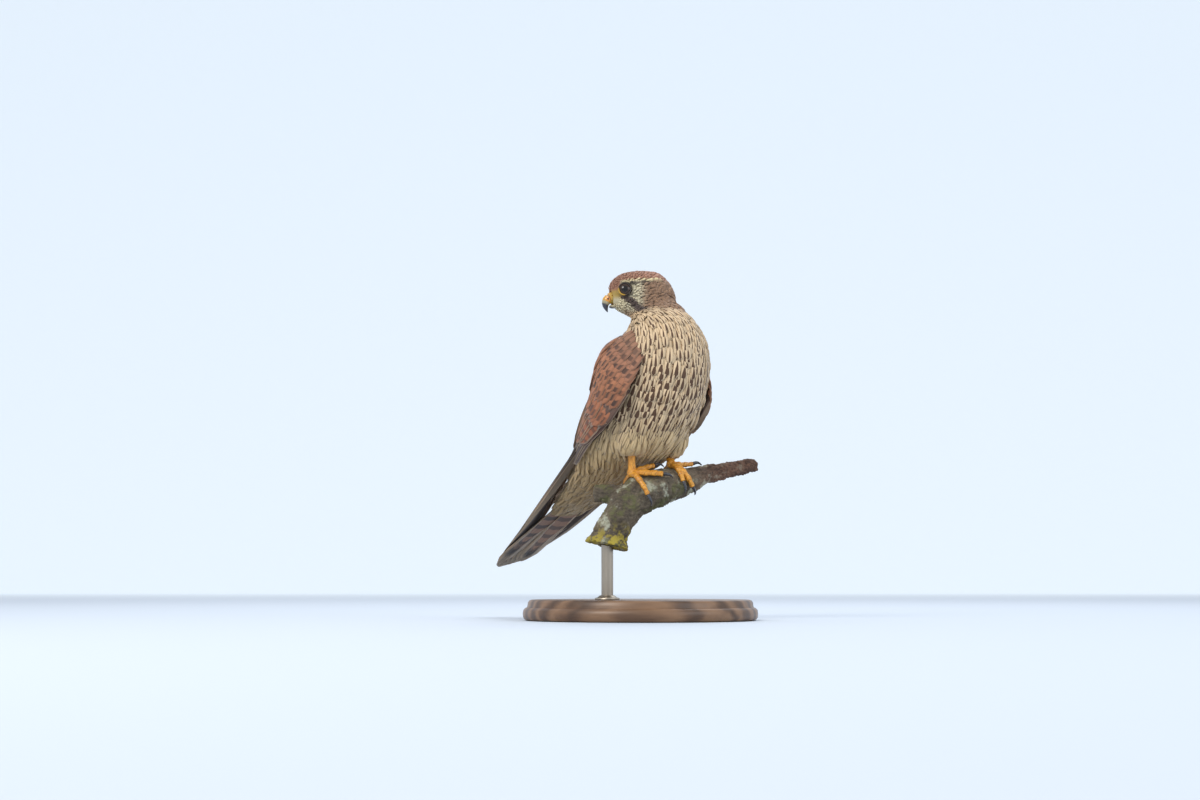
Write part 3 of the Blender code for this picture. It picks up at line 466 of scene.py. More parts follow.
def markings(at):
    """The plumage at each place: ground and mark colours, and how streaked, barred and spotted."""
    count = len(at["key"])
    belly = 1.0 - soft(at["up"], *BELLY_RISE)
    ground = wash(np.tile(BUFF, (count, 1)), BELLY, belly)
    ground = wash(ground, THIGH, 1.0 - soft(at["up"], *LEG_RISE))
    # Darker towards the vent: partly its own colour, partly painted shade of the underside.
    ground = wash(ground, VENT_WITH_SHADE, 1.0 - soft(at["key"], *VENT_KEYS))
    mark = wash(np.tile(STREAK, (count, 1)), RUMP_MARK, 1.0 - soft(at["key"], 2.0, 3.0))
    streak = 0.26 + 0.20 * soft(at["up"], *CHEST_RISE)
    streak = streak * soft(at["up"], *FLANK_RISE) + 0.02
    back = 1.0 - soft(at["round"], *BACK_ROUND)
    back *= soft(at["up"], *NECK_RISE)
    mantle = back * soft(at["key"], *RUMP_KEYS)
    rump = back * (1.0 - soft(at["key"], *RUMP_KEYS))
    ground = wash(wash(ground, MANTLE, mantle), RUMP, rump)
    mark = wash(wash(mark, MANTLE_MARK, mantle), RUMP_MARK, rump)
    streak = streak * (1.0 - back)
    bars = mantle * 0.9 + rump * 0.6
    a, u, s = at["ahead"], at["rise"], np.abs(at["side"])
    head = on_head(at)
    flank = soft(s, 3.0, 6.0)
    line = BROW_RISE + np.clip(10.0 - a, 0.0, 40.0) * BROW_CLIMB
    face = np.tile(EAR, (count, 1))
    face = wash(face, NAPE, soft(a, -19.0, -25.0))
    face = wash(face, CHEEK, soft(a, -7.5, -0.5) * soft(u, -20.0, -15.0))
    face = wash(face, CHIN, soft(a, 4.5, 7.5) * soft(u, -5.5, -8.5))
    face = wash(face, THROAT, soft(u, -16.0, -20.5) * soft(a, -14.0, -9.0))
    slant = (a - EYE_AHEAD - LASH_AHEAD - (u - EYE_RISE + LASH_DROP) * LASH_SLANT) * LASH_SQUEEZE
    lash = soft(np.abs(slant), 2.5, 1.3) * soft(u, -20.5, -17.5) * soft(u, -5.0, -7.0) * flank
    face = wash(face, MOUSTACHE, lash)
    forehead = soft(a, 7.5, 10.0) * soft(u, -6.6, -4.2)
    face = wash(face, CROWN, np.maximum(soft(u, line - 0.4, line + 1.2), forehead))
    lore = soft(a, 7.6, 9.4) * soft(u, -2.8, -4.8) * soft(u, -10.5, -7.5)
    face = wash(face, LORE, lore * 0.85)
    stripe = soft(np.abs(u - line), 1.25, 0.6) * soft(a, 9.5, 7.5) * soft(a, -17.0, -12.0) * flank
    face = wash(face, BROW, stripe)
    under = soft(np.abs(u - line + 1.9), 1.0, 0.45) * soft(a, 9.5, 7.5) * soft(a, -13.0, -6.0) * flank
    face = wash(face, EYE_RIM, under * 0.85)
    eye = np.hypot(a - EYE_AHEAD, u - EYE_RISE)
    shaded = soft(a, EYE_AHEAD - 4.5, EYE_AHEAD - 2.5)
    yellow = soft(a, EYE_AHEAD + 1.0, EYE_AHEAD + 3.0) * soft(u, EYE_RISE, EYE_RISE - 2.0)
    rim = soft(eye, 5.7, 4.8) * flank * shaded * (1.0 - yellow * 0.8)
    face = wash(face, EYE_RIM, rim * 0.85)
    pale = soft(a, -7.5, -1.0) * soft(u, line - 2.0, line - 4.0)
    plain = np.clip(pale + lash + stripe + rim, 0.0, 1.0)
    ground = wash(ground, face, head)
    mark = wash(mark, wash(np.tile(EAR_MARK, (count, 1)), CROWN_MARK, soft(u, 1.0, 4.0)), head)
    streak = streak * (1.0 - head) + head * 0.20 * (1.0 - plain)
    bars = bars * (1.0 - head)
    return ground, mark, streak, bars


def add_colours(data, values):
    """Stores one colour attribute for each name, with a value for each vertex."""
    for name, colours in values.items():
        layer = data.attributes.new(name, "FLOAT_COLOR", "POINT")
        filled = np.ones((len(data.vertices), 4), np.float32)
        filled[:, :colours.shape[1]] = colours
        layer.data.foreach_set("color", filled.ravel())


skin_areas = np.array([face.calc_area() for face in skin.faces])
skin_thing = made("skin", skin)
ground, mark, streak, bars = markings(survey(skin_places))
cover = np.clip(streak * 0.5 + bars * 0.3, 0.0, 0.5)
# The skin's colour is darkened here as painted shade for the gaps between the feathers.
add_colours(skin_thing.data, {"ground": wash(ground, mark, cover) * SKIN_PAINTED_SHADE})
hide, wire = finish("skin_under_feathers", {"Roughness": 0.85})
downy = wire.grain(wire.place((1.0, 1.0, 0.35)), 900.0)
(downy * 0.3).blend(wire.stored("ground"), (0.05, 0.035, 0.025)).feed("Base Color")
bump(wire.grain(wire.place((1.0, 1.0, 0.3)), 1200.0), 0.6, 0.0004)
set_out(skin_thing, hide, "body_feathers", *FLESH)

# Body plumage
# Small contour feathers rooted in the skin and lying down the body: an under layer of plain
# loose ones, and over it the streaked ones of breast and flanks and the spotted ones of the back.


def vane(columns, rows, outline, roundness, notch, camber):
    """A closed feather of length and half width one: local places, faces and flat places."""
    mesh = bmesh.new()
    bmesh.ops.create_grid(mesh, x_segments=columns, y_segments=rows, size=1.0)
    lengths, widths = zip(*outline)
    flat = {}
    for spot in mesh.verts:
        x, y = spot.co.x, (spot.co.y + 1.0) / 2.0
        flat[spot.index] = ((x + 1.0) / 2.0, y)
        reach = y * (1.0 - roundness * x * x * y ** 3)
        if y > 0.99 and round((x + 1.0) * columns / 2.0) % 2:
            reach -= notch
        width = float(np.interp(y, lengths, widths))
        spot.co = (x * width, reach, camber * (1.0 - x * x) * width)
    mesh.normal_update()
    if next(iter(mesh.faces)).normal.z < 0.0:
        bmesh.ops.reverse_faces(mesh, faces=mesh.faces)
    rim = [edge for edge in mesh.edges if edge.is_boundary]
    bmesh.ops.contextual_create(mesh, geom=rim)
    bmesh.ops.triangulate(mesh, faces=mesh.faces)
    bmesh.ops.recalc_face_normals(mesh, faces=mesh.faces)
    mesh.verts.ensure_lookup_table()
    local = np.array([spot.co for spot in mesh.verts])
    faces = np.array([[spot.index for spot in face.verts] for face in mesh.faces])
    uv = np.array([flat[index] for index in range(len(local))])
    top = max(mesh.faces, key=lambda face: face.calc_center_median().z)
    if top.normal.z < 0.0:
        faces = faces[:, ::-1]
    mesh.free()
    return local, faces, uv


PATCH = (0.003, 0.003)


class Coat:
    """Feathers gathered into one mesh, with their markings and maps."""

    def __init__(self, name):
        self.name = name
        self.places, self.faces, self.flats, self.roots = [], [], [], []
        self.colours = {"ground": [], "mark": [], "pattern": []}
        self.count = 0

    def add(self, shape, places, roots, ground, mark, pattern, patch=PATCH):
        """Feathers of one shape: their vertices, map places, and one row of colours for each."""
        local, faces, uv = shape
        number, size = places.shape[:2]
        first = self.count + np.arange(number) * size
        self.faces.append((faces[None] + first[:, None, None]).reshape(-1, 3))
        self.places.append(places.reshape(-1, 3))
        self.flats.append(np.tile(uv, (number, 1)))
        self.roots.append((roots[:, None, :] + (uv[None] - 0.5) * patch).reshape(-1, 2))
        for key, rows in (("ground", ground), ("mark", mark), ("pattern", pattern)):
            self.colours[key].append(np.repeat(rows, size, axis=0))
        self.count += number * size

    def finish(self, material, slot, *replaced):
        """The piece in the scene."""
        places = np.concatenate(self.places) * MM
        faces = np.concatenate(self.faces)
        data = bpy.data.meshes.new(self.name)
        data.vertices.add(len(places))
        data.vertices.foreach_set("co", places.astype(np.float32).ravel())
        data.loops.add(len(faces) * 3)
        data.loops.foreach_set("vertex_index", faces.astype(np.int32).ravel())
        data.polygons.add(len(faces))
        data.polygons.foreach_set("loop_start", np.arange(0, len(faces) * 3, 3, dtype=np.int32))
        data.update(calc_edges=True)
        for name, rows in (("vane", self.flats), ("OFBake", self.roots)):
            layer = data.uv_layers.new(name=name)
            layer.data.foreach_set("uv", np.concatenate(rows)[faces.ravel()].astype(np.float32).ravel())
        add_colours(data, {key: np.concatenate(rows) for key, rows in self.colours.items()})
        data.shade_smooth()
        set_out(bpy.data.objects.new(self.name, data), material, slot, *replaced)


def rest_on_skin(places):
    """The nearest spots of the skin and its smooth normals there, in millimetres."""
    spots, normals = np.empty_like(places), np.empty_like(places)
    for i, place in enumerate(places):
        spot, _, index, _ = skin_tree.find_nearest(Vector(place) * MM)
        spots[i] = spot / MM
        normals[i] = face_normals[index]
    return spots, normals


def level(ways, normals):
    """Ways turned to lie in the surface, of length one."""
    ways = ways - normals * (ways * normals).sum(axis=1)[:, None]
    return ways / np.maximum(np.linalg.norm(ways, axis=1), 1e-6)[:, None]


BILL_BASE = np.array(head_at(13.0, 0.0, -8.0))


def lie(places, normals, at):
    """The way the plumage lies: back from the bill on the head, down the body below it."""
    down = -(np.outer(at["way"][:, 0], FORWARD) + np.outer(at["way"][:, 1], UP))
    legs = (1.0 - soft(at["up"], 4.0, 30.0)) * soft(at["key"], 2.9, 3.8)
    down = down + np.outer(legs * 1.5, (0.0, 0.0, -1.0))
    swept = places - BILL_BASE
    swept /= np.linalg.norm(swept, axis=1)[:, None]
    share = soft(at["up"], 88.0, 114.0)[:, None]
    return level(down * (1.0 - share) + swept * share, normals)


def scatter(tries, spacing):
    """Roots spread evenly over the skin, as far apart as the spacing at each place says."""
    picks = np.searchsorted(np.cumsum(skin_areas) / skin_areas.sum(), chance.random(tries))
    corners = skin_places[np.array([face_corners[i][:3] + face_corners[i][-1:] for i in picks])]
    j, k = chance.random(tries)[:, None], chance.random(tries)[:, None]
    lower = corners[:, 0] * (1 - j) + corners[:, 1] * j
    upper = corners[:, 3] * (1 - j) + corners[:, 2] * j
    spots = lower * (1 - k) + upper * k
    reach = spacing(survey(spots))
    cell = float(reach.max())
    taken, kept = {}, []
    for i in np.flatnonzero(reach > 0.0):
        spot, limit = spots[i], reach[i] ** 2
        x, y, z = (int(value) for value in spot // cell)
        near = [other for a in (x - 1, x, x + 1) for b in (y - 1, y, y + 1) for c in (z - 1, z, z + 1)
                for other in taken.get((a, b, c), ())]
        if all((spot[0] - o[0]) ** 2 + (spot[1] - o[1]) ** 2 + (spot[2] - o[2]) ** 2 > limit for o in near):
            taken.setdefault((x, y, z), []).append(spot)
            kept.append(i)
    return spots[kept]


LIFT_PROFILE = (0.0, 0.62, 0.96, 1.0, 0.74)
STEPS = len(LIFT_PROFILE) - 1
ROOT_SINK = 0.1


def drape(roots, lengths, high, sway):
    """Feather middles, sides and normals at five stations along the skin."""
    spots, normals = rest_on_skin(roots)
    ways = lie(spots, normals, survey(spots))
    ways = level(ways + np.cross(normals, ways) * sway[:, None], normals)
    stations = []
    for share in LIFT_PROFILE:
        lift = (high + ROOT_SINK) * share - ROOT_SINK
        stations.append((spots + normals * lift[:, None], np.cross(ways, normals), normals))
        spots, normals = rest_on_skin(spots + ways * (lengths / STEPS)[:, None])
        ways = level(ways * 0.7 + lie(spots, normals, survey(spots)) * 0.3, normals)
    return [np.stack(part, axis=1) for part in zip(*stations)]


def spread(shape, curves, half_widths):
    """The vertices of one shape of feather along many draped curves."""
    local = shape[0]
    share = np.clip(local[:, 1], 0.0, 1.0) * STEPS
    low = np.minimum(share.astype(int), STEPS - 1)
    k = (share - low)[None, :, None]
    middles, sides, normals = (part[:, low] * (1.0 - k) + part[:, low + 1] * k for part in curves)
    wide = half_widths[:, None, None]
    return middles + sides * local[None, :, 0:1] * wide + normals * local[None, :, 2:3] * wide


MAP_ROOM = 0.96


def body_map(at):
    """Where roots lie on the body's own unwrap: round it, and along it."""
    return np.stack((at["turn"] / 360.0, at["key"] / 10.0 - 0.5), axis=1) * MAP_ROOM + 0.5


def plume(name, number, barb=(26.0, 2.2, 1.2), wobble=0.35, band=0.0, spot=0.0):
    """The finish of feathers: a shaft streak, cross bars and fine barbs over the ground colour, and a base
    darkened partly as its own downy grey and partly as painted shade.
    """
    material, wire = finish(name, {"Roughness": 0.72, "Sheen Weight": 0.12, "Sheen Roughness": 0.4})
    flat = wire.node("UVMap", uv_map="vane")
    side, reach = (wire.node("SeparateXYZ", {0: flat}, axis) for axis in (0, 1))
    out = wire.sum("ABSOLUTE", side - 0.5) * 2.0
    ground, mark, pattern = (wire.stored(name) for name in ("ground", "mark", "pattern"))
    seed = wire.stored("pattern", 3)
    streak, bars, fringe = (wire.node("SeparateColor", {0: pattern}, part) for part in (0, 1, 2))
    strand = {0: side * barb[0] + seed * 91.0, 1: reach * barb[1] - out * barb[2], 2: seed * 37.0}
    barbs = wire.grain(wire.node("CombineXYZ", strand), 1.0, 3.0, 0.6)
    cloud = {0: side * 1.5 + seed * 53.0, 1: reach * 3.0, 2: seed * 11.0}
    cloudy = wire.grain(wire.node("CombineXYZ", cloud), 1.0, 2.0)
    width = streak * ((1.0 - reach.ease(0.87, 1.0)) * reach.ease(0.2, 0.82) * 1.15 + (barbs - 0.5) * 0.7)
    shaft = (1.0 - (out - width).ease(-0.04, 0.07)) * streak.ease(0.01, 0.07)
    turns = reach * number - (1.0 - out) * 0.16 + (cloudy - 0.5) * wobble + seed * (0.4 * spot)
    sides = 1.0 - out.ease(0.72 - 0.42 * spot, 1.0 - 0.2 * spot) * (0.6 + 0.4 * spot)
    barred = wire.sum("SINE", turns * (2.0 * math.pi)).ease(0.0, 0.45) * sides * bars
    last = reach.ease(0.865, 0.89) * (1.0 - reach.ease(0.955, 0.975)) * band
    marked = wire.sum("MAXIMUM", wire.sum("MAXIMUM", shaft, barred), last).blend(ground, mark)
    rim = wire.sum("MAXIMUM", reach.ease(0.9, 0.985), out.ease(0.76, 0.97))
    worn = (rim * (0.10 + fringe * 0.75) * (1.0 - shaft * 0.7)).blend(marked, (0.66, 0.50, 0.34))
    # Barbs and clouds vary the tone at random; the darker base of each feather is partly its own downy grey
    # and partly painted shade where the feathers above cover it.
    tone_and_shade = (0.76 + barbs * 0.28 + cloudy * 0.18) * (0.74 + reach.ease(0.0, 0.5) * 0.26)
    dark = wire.sum("MAXIMUM", 1.0 - tone_and_shade, 0.0)
    dark.blend(worn, (0.015, 0.010, 0.007)).feed("Base Color")
    bump(barbs, 0.35, 0.0003)
    return material


SEED, BODY_TRIES = 7, 26000
# Length, half width, lift and streak of the feathers of each layer
UNDER_FEATHER, OVER_FEATHER = (14.0, 3.3, 0.72, 0.25), (16.5, 2.5, 1.0, 1.0)
feathers = plume("body_feathers_soft", 2.3)
chance = np.random.default_rng(SEED)
LOOSE = vane(4, 5, ((0.0, 0.25), (0.35, 0.85), (0.7, 1.0), (1.0, 0.7)), 0.13, 0.10, 0.05)
SOFT = vane(3, 4, ((0.0, 0.25), (0.35, 0.85), (0.75, 1.0), (1.0, 0.5)), 0.14, 0.12, 0.10)


def under_spacing(at):
    spacing = 2.9 - 0.6 * (1.0 - soft(at["up"], 10.0, 30.0))
    return np.where((at["key"] < 1.2) | (on_head(at) > 0.4), 0.0, spacing)


def over_spacing(at):
    spacing = 3.4 - 0.6 * soft(at["up"], 80.0, 104.0) - 0.8 * (1.0 - soft(at["up"], 22.0, 44.0))
    return np.where((at["key"] < 1.0) | (on_head(at) > 0.5), 0.0, spacing)


def clothe(coat, shape, roots, length, width, rise, streaked):
    """Lays one layer of feathers with the markings of their roots."""
    at = survey(roots)
    count = len(roots)
    neck = soft(at["up"], 80.0, 106.0)
    legs = 1.0 - soft(at["up"], 6.0, 26.0)
    vary = chance.uniform(0.85, 1.18, count)
    low = 1.0 - soft(at["up"], *FLANK_RISE)
    lengths = length * (1.0 - 0.32 * neck + 0.2 * low - 0.3 * legs) * vary
    depth = coat_depth(at)
    lift = depth * rise * chance.uniform(0.85, 1.12, count)
    free = (chance.random(count) < 0.09) & (at["up"] < 60.0)
    lift = np.where(free, lift + chance.uniform(0.5, 2.2, count), lift)
    lengths = np.where(free, lengths * 1.25, lengths)
    curves = drape(roots, lengths, lift, chance.uniform(-0.16, 0.16, count))
    widths = width * (1.0 - 0.30 * neck - 0.42 * low) * chance.uniform(0.88, 1.12, count)
    widths = widths * np.where(free, 0.6, 1.0)
    ground, mark, streak, bars = markings(at)
    tone = chance.normal(1.0, 0.07, (count, 1))
    pattern = np.stack((streak * streaked * chance.uniform(0.55, 1.3, count), bars,
                        np.zeros(count), chance.random(count)), axis=1)
    coat.add(shape, spread(shape, curves, widths), body_map(at), ground * tone, mark, pattern)


under = Coat("plumage_under")
clothe(under, SOFT, scatter(BODY_TRIES, under_spacing), *UNDER_FEATHER)
under.finish(feathers, "body_feathers")
over = Coat("plumage_over")
clothe(over, LOOSE, scatter(BODY_TRIES, over_spacing), *OVER_FEATHER)
over.finish(feathers, "body_feathers")

# Head plumage
# The smallest feathers of the bird, a few millimetres long, which sweep back from the bill over
# face and crown. They leave the eyelids, the cere and the bill bare.

FINE = vane(3, 4, ((0.0, 0.3), (0.35, 0.9), (0.75, 1.0), (1.0, 0.45)), 0.16, 0.10, 0.12)
EYE_RADIUS, LID_RADIUS = 5.4, 4.1
FACE_TRIES, FACE_FEATHER = 60000, (5.0, 0.98, 0.72)
HEAD_MAP_CENTRE = (-2.0, -12.0)


def from_eye(at):
    """How far places are from the middle of the lids, seen from the side."""
    return np.hypot(at["ahead"] - EYE_AHEAD - 1.0, at["rise"] - EYE_RISE)


def head_map(at):
    """Where roots lie on the head's own unwrap: round it, and up it from under the chin."""
    ahead, rise = at["ahead"] - HEAD_MAP_CENTRE[0], at["rise"] - HEAD_MAP_CENTRE[1]
    climb = np.arctan2(rise, np.hypot(ahead, at["side"]))
    return np.stack((np.arctan2(at["side"], ahead) / 2.0, climb), axis=1) / math.pi * MAP_ROOM + 0.5


def face_spacing(at):
    """How far apart the roots on the head are, nought on bare skin."""
    eye = from_eye(at)
    bare = (eye < LID_RADIUS + 0.9) & (np.abs(at["side"]) > 5.0)
    bill = (at["ahead"] > 9.4) & (np.abs(at["rise"] + 7.6) < 4.6)
    spacing = 0.94 + 0.35 * soft(at["ahead"], 0.0, -16.0)
    return np.where(bare | bill | (on_head(at) < 0.15) | (at["ahead"] > 14.5), 0.0, spacing)


def clothe_head(coat, roots, length, width, rise):
    """Lays the small feathers of the head with the markings of their roots."""
    at = survey(roots)
    count = len(roots)
    back = soft(at["ahead"], 8.0, -18.0)
    lengths = length * (0.45 + 0.75 * back) * chance.uniform(0.85, 1.2, count)
    eye = from_eye(at)
    before = (at["ahead"] > EYE_AHEAD) & (eye < 9.5) & (np.abs(at["side"]) > 5.0)
    lengths = np.where(before, np.minimum(lengths, np.maximum(eye - LID_RADIUS - 0.7, 0.9)), lengths)
    lift = coat_depth(at) * rise * chance.uniform(0.8, 1.15, count)
    curves = drape(roots, lengths, lift, chance.uniform(-0.12, 0.12, count))
    ground, mark, streak, bars = markings(at)
    tone = chance.normal(1.0, 0.06, (count, 1))
    pattern = np.stack((streak * chance.uniform(0.5, 1.4, count), bars, np.zeros(count),
                        chance.random(count)), axis=1)
    widths = width * (0.6 + 0.55 * back) * chance.uniform(0.9, 1.1, count)
    coat.add(FINE, spread(FINE, curves, widths), head_map(at), ground * tone, mark, pattern)


face = Coat("plumage_head")
clothe_head(face, scatter(FACE_TRIES, face_spacing), *FACE_FEATHER)
face.finish(feathers, "head_feathers")

# Eyes
# Two wet dark-brown eyes, nearly black, each in a ring of lids: yellow skin in front and below,
# dark above and behind, where the brow shades it.

SIDES = ((-1, "right"), (1, "left"))
LID_WIDTH, LID_SINK = 0.45, 1.55
PUPIL, IRIS = 2.0 * MM, 2.4 * MM
WET = {"Roughness": 0.06, "Coat Weight": 0.2, "Specular IOR Level": 0.35}


def head_way(ahead, left, up):
    """A direction given in the head's own directions."""
    return (HEAD_AHEAD * ahead + HEAD_LEFT * left + UP * up).normalized()


for side, word in SIDES:
    axis = head_way(0.30, side, 0.05)
    middle = head_at(EYE_AHEAD, side * EYE_SIDE, EYE_RISE)
    eyeball, wire = finish("wet_eye_" + word, WET)
    away = wire.away((middle + axis * EYE_RADIUS) * MM)
    iris = (1.0 - away.ease(PUPIL, IRIS)).blend((0.030, 0.014, 0.007), (0.003, 0.002, 0.002))
    iris.feed("Base Color")
    globe = bmesh.new()
    bmesh.ops.create_uvsphere(globe, u_segments=48, v_segments=32, radius=EYE_RADIUS * MM)
    bmesh.ops.translate(globe, vec=middle * MM, verts=globe.verts)
    set_out(made("eyeball_" + word, globe), eyeball, "eye", "eye_" + word)
    turns = [2.0 * math.pi * i / 12 for i in range(13)]
    loop = [(LID_RADIUS + LID_WIDTH * math.cos(turn), LID_WIDTH * math.sin(turn)) for turn in turns]
    ring = turned(loop, 72)
    lid_at = middle + axis * (EYE_RADIUS - LID_SINK)
    ring.transform(axis.to_track_quat("Z", "Y").to_matrix().to_4x4())
    bmesh.ops.translate(ring, vec=lid_at * MM, verts=ring.verts)
    for spot in ring.verts:
        lump = noise.noise(spot.co * 2600.0)
        spot.co += (spot.co - lid_at * MM).normalized() * lump * 0.12 * MM
    lid = made("eyelid_" + word, ring)
    spots = np.empty(len(lid.data.vertices) * 3)
    lid.data.vertices.foreach_get("co", spots)
    at = survey(spots.reshape(-1, 3) / MM)
    yellow = soft((at["ahead"] - EYE_AHEAD) * 0.8 - (at["rise"] - EYE_RISE) * 0.7, 2.9, 4.3)
    dark = np.tile(dye(46, 38, 34), (len(yellow), 1))
    add_colours(lid.data, {"ground": wash(dark, dye(184, 144, 50), yellow)})
    eyelid, wire = finish("eyelid_" + word, {"Roughness": 0.5})
    wire.stored("ground").feed("Base Color")
    set_out(lid, eyelid, "yellow_skin")

# Bill
# A short hooked bill of horn, blue-black at the tip and pale at its base, under a waxy
# yellow cere with a round nostril on each side.

BILL_VOXEL = 0.16


def nostril(at, under):
    """The round nostril in its orange rim, over the colours beneath; its dark middle is painted shade of the
    opening.
    """
    hole = np.hypot(at["ahead"] - 16.0, at["rise"] + 9.2)
    rimmed = wash(under, dye(224, 146, 50), soft(hole, 2.3, 1.2))
    # The dark middle is painted shade where the nostril opens; no hole is cut.
    return wash(rimmed, dye(66, 40, 18), soft(hole, 0.9, 0.5))


def horn_colours(at):
    """The cere's yellow above, a pale edge, and slate blue-black towards the tip."""
    drop = (at["ahead"] - 16.0) * 0.45 - at["rise"]
    pale = wash(np.tile(dye(206, 152, 46), (len(drop), 1)), dye(168, 158, 124), soft(drop, 10.9, 11.7))
    return nostril(at, wash(pale, dye(44, 46, 58), soft(drop, 12.4, 14.0)))


def cere_colours(at):
    """Orange-yellow, a little greener towards the face."""
    greener = soft(at["ahead"], 16.5, 13.0)
    return nostril(at, wash(np.tile(dye(210, 154, 42), (len(greener), 1)), dye(176, 142, 62), greener))


horn, wire = finish("bill_horn", {"Roughness": 0.28, "Coat Weight": 0.4, "Coat Roughness": 0.15})
streaky = wire.grain(wire.place((1.0, 1.0, 0.3)), 1500.0)
(streaky * 0.25).blend(wire.stored("ground"), (0.03, 0.03, 0.035)).feed("Base Color")
waxy, wire = finish("waxy_cere", {"Roughness": 0.42, "Coat Weight": 0.15, "Subsurface Weight": 0.1})
wire.stored("ground").feed("Base Color")
bump(wire.grain(wire.place(), 2200.0), 0.3, 0.0001)
for name, node, colours, material, slot in (
    ("cere_waxy", "cere", cere_colours, waxy, "yellow_skin"),
    ("bill_upper_horn", "bill_upper", horn_colours, horn, "horn"),
    ("bill_lower_horn", "bill_lower", horn_colours, horn, "horn"),
):
    mesh = cast((node,), BILL_VOXEL, 3)
    at = survey(spots_of(mesh))
    piece = made(name, mesh)
    add_colours(piece.data, {"ground": colours(at)})
    set_out(piece, material, slot, node)

# Wings
# Each folded wing: flight feathers rooted in hand and forearm and closed like a fan, with rows of
# coverts over their bases and the scapulars over the shoulder. All quills are sunk in its skin.

# Distance from the wrist, then forward, out, up, roof angle, bend radius
WING = np.array((
    (-14.0, 23.0, 22.0, 90.0, 4.0, 28.0), (0.0, 15.0, 31.0, 82.0, 9.0, 33.0),
    (24.0, 2.0, 38.5, 67.5, 15.0, 40.0), (51.0, -12.5, 36.5, 48.0, 24.0, 40.0),
    (78.0, -33.0, 30.0, 30.0, 35.0, 34.0), (107.0, -55.5, 19.5, 12.0, 48.0, 28.0),
    (150.0, -87.0, 13.0, -14.5, 60.0, 34.0), (190.0, -116.5, 9.0, -37.5, 70.0, 60.0),
    (236.0, -156.0, 6.5, -59.5, 76.0, 90.0),
))
# Fleshy part: distance from the wrist, middle, half chord, half thickness
WING_ARM = np.array((
    (-13.0, 1.0, 8.0, 0.6), (-4.0, -2.5, 14.0, 1.2), (14.0, -4.0, 22.0, 1.4),
    (40.0, 1.0, 32.0, 1.4), (64.0, 0.0, 27.0, 1.2), (82.0, -1.0, 20.0, 0.6),
))
BACK_BEND = 0.72
WING_TUCK, TUCK_END = 3.0, 170.0
PRIMARIES, LONGEST_PRIMARY, SHORTEST_PRIMARY = 10, 236.0, 140.0
QUILL_OUTLINE = ((0.0, 0.25), (0.1, 0.55), (0.35, 0.96), (0.78, 1.0), (0.93, 0.72), (1.0, 0.22))
QUILL = vane(6, 22, QUILL_OUTLINE, 0.035, 0.0, 0.10)
COVERT = vane(4, 7, ((0.0, 0.35), (0.3, 0.85), (0.7, 1.0), (0.9, 0.86), (1.0, 0.42)), 0.15, 0.03, 0.12)
DARK, SHADE = dye(50, 34, 28), dye(62, 46, 40)
# Rows: count, half width, front and back feather (root and tip, along and across), rise at root
# and tip, tilt, ground colour, how barred and how pale its edges
FLIGHT_ROWS = (
    (6, 6.6, (50, -19, 100, -17), (48, -6, 116, -5), 0.3, 0.9, 0.18, dye(66, 50, 44), 0.0, 0.7),
    (11, 7.0, (50, -19, 82, -13), (44, 14, 102, 5), 0.7, 1.7, 0.18, dye(138, 80, 50), 0.6, 0.75),
    (4, 8.2, (42, 16, 106, 6), (36, 26, 116, 11), 1.1, 2.8, 0.18, dye(146, 90, 60), 0.8, 0.4),
)
COVERT_ROWS = (
    (8, 4.4, (48, -26, 84, -15), (48, -15, 80, -9), 0.8, 1.9, 0.14, dye(88, 62, 52), 0.0, 0.5),
    (12, 5.6, (38, -24, 61, -20), (34, 20, 69, 15), 1.3, 3.0, 0.14, dye(154, 96, 64), 0.85, 0.6),
    (3, 4.2, (26, -28, 60, -23), (24, -22, 50, -18), 1.6, 3.1, 0.14, dye(92, 68, 56), 0.0, 0.4),
    (11, 5.2, (26, -25, 47, -23), (24, 16, 51, 16), 1.5, 3.3, 0.13, dye(158, 102, 70), 0.9, 0.2),
    (11, 4.8, (18, -24, 39, -24), (17, 13, 41, 15), 1.5, 3.4, 0.13, dye(160, 104, 72), 0.9, 0.15),
    (10, 4.4, (11, -23, 33, -23), (10, 11, 34, 14), 1.4, 3.3, 0.12, dye(158, 104, 74), 0.85, 0.1),
    (9, 4.1, (4, -20, 24, -22), (4, 9, 25, 12), 1.3, 3.1, 0.12, dye(150, 102, 76), 0.8, 0.1),
    (7, 3.8, (-3, -15, 15, -19), (-3, 8, 16, 11), 1.1, 2.8, 0.12, dye(146, 102, 78), 0.7, 0.1),
    (5, 3.6, (-9, -9, 8, -13), (-9, 7, 9, 9), 0.8, 2.3, 0.12, dye(146, 106, 82), 0.6, 0.1),
    (6, 7.4, (22, 9, 56, 15), (30, 24, 78, 21), 1.7, 4.2, 0.12, dye(154, 98, 68), 0.9, 0.2),
    (6, 6.6, (10, 10, 42, 15), (16, 26, 60, 24), 1.7, 4.3, 0.12, dye(156, 100, 70), 0.9, 0.15),
    (5, 5.8, (0, 11, 28, 14), (6, 25, 40, 25), 1.6, 4.2, 0.12, dye(152, 100, 72), 0.85, 0.1),
)


def unit(ways):
    """Directions of length one."""
    return ways / np.maximum(np.linalg.norm(ways, axis=1), 1e-9)[:, None]


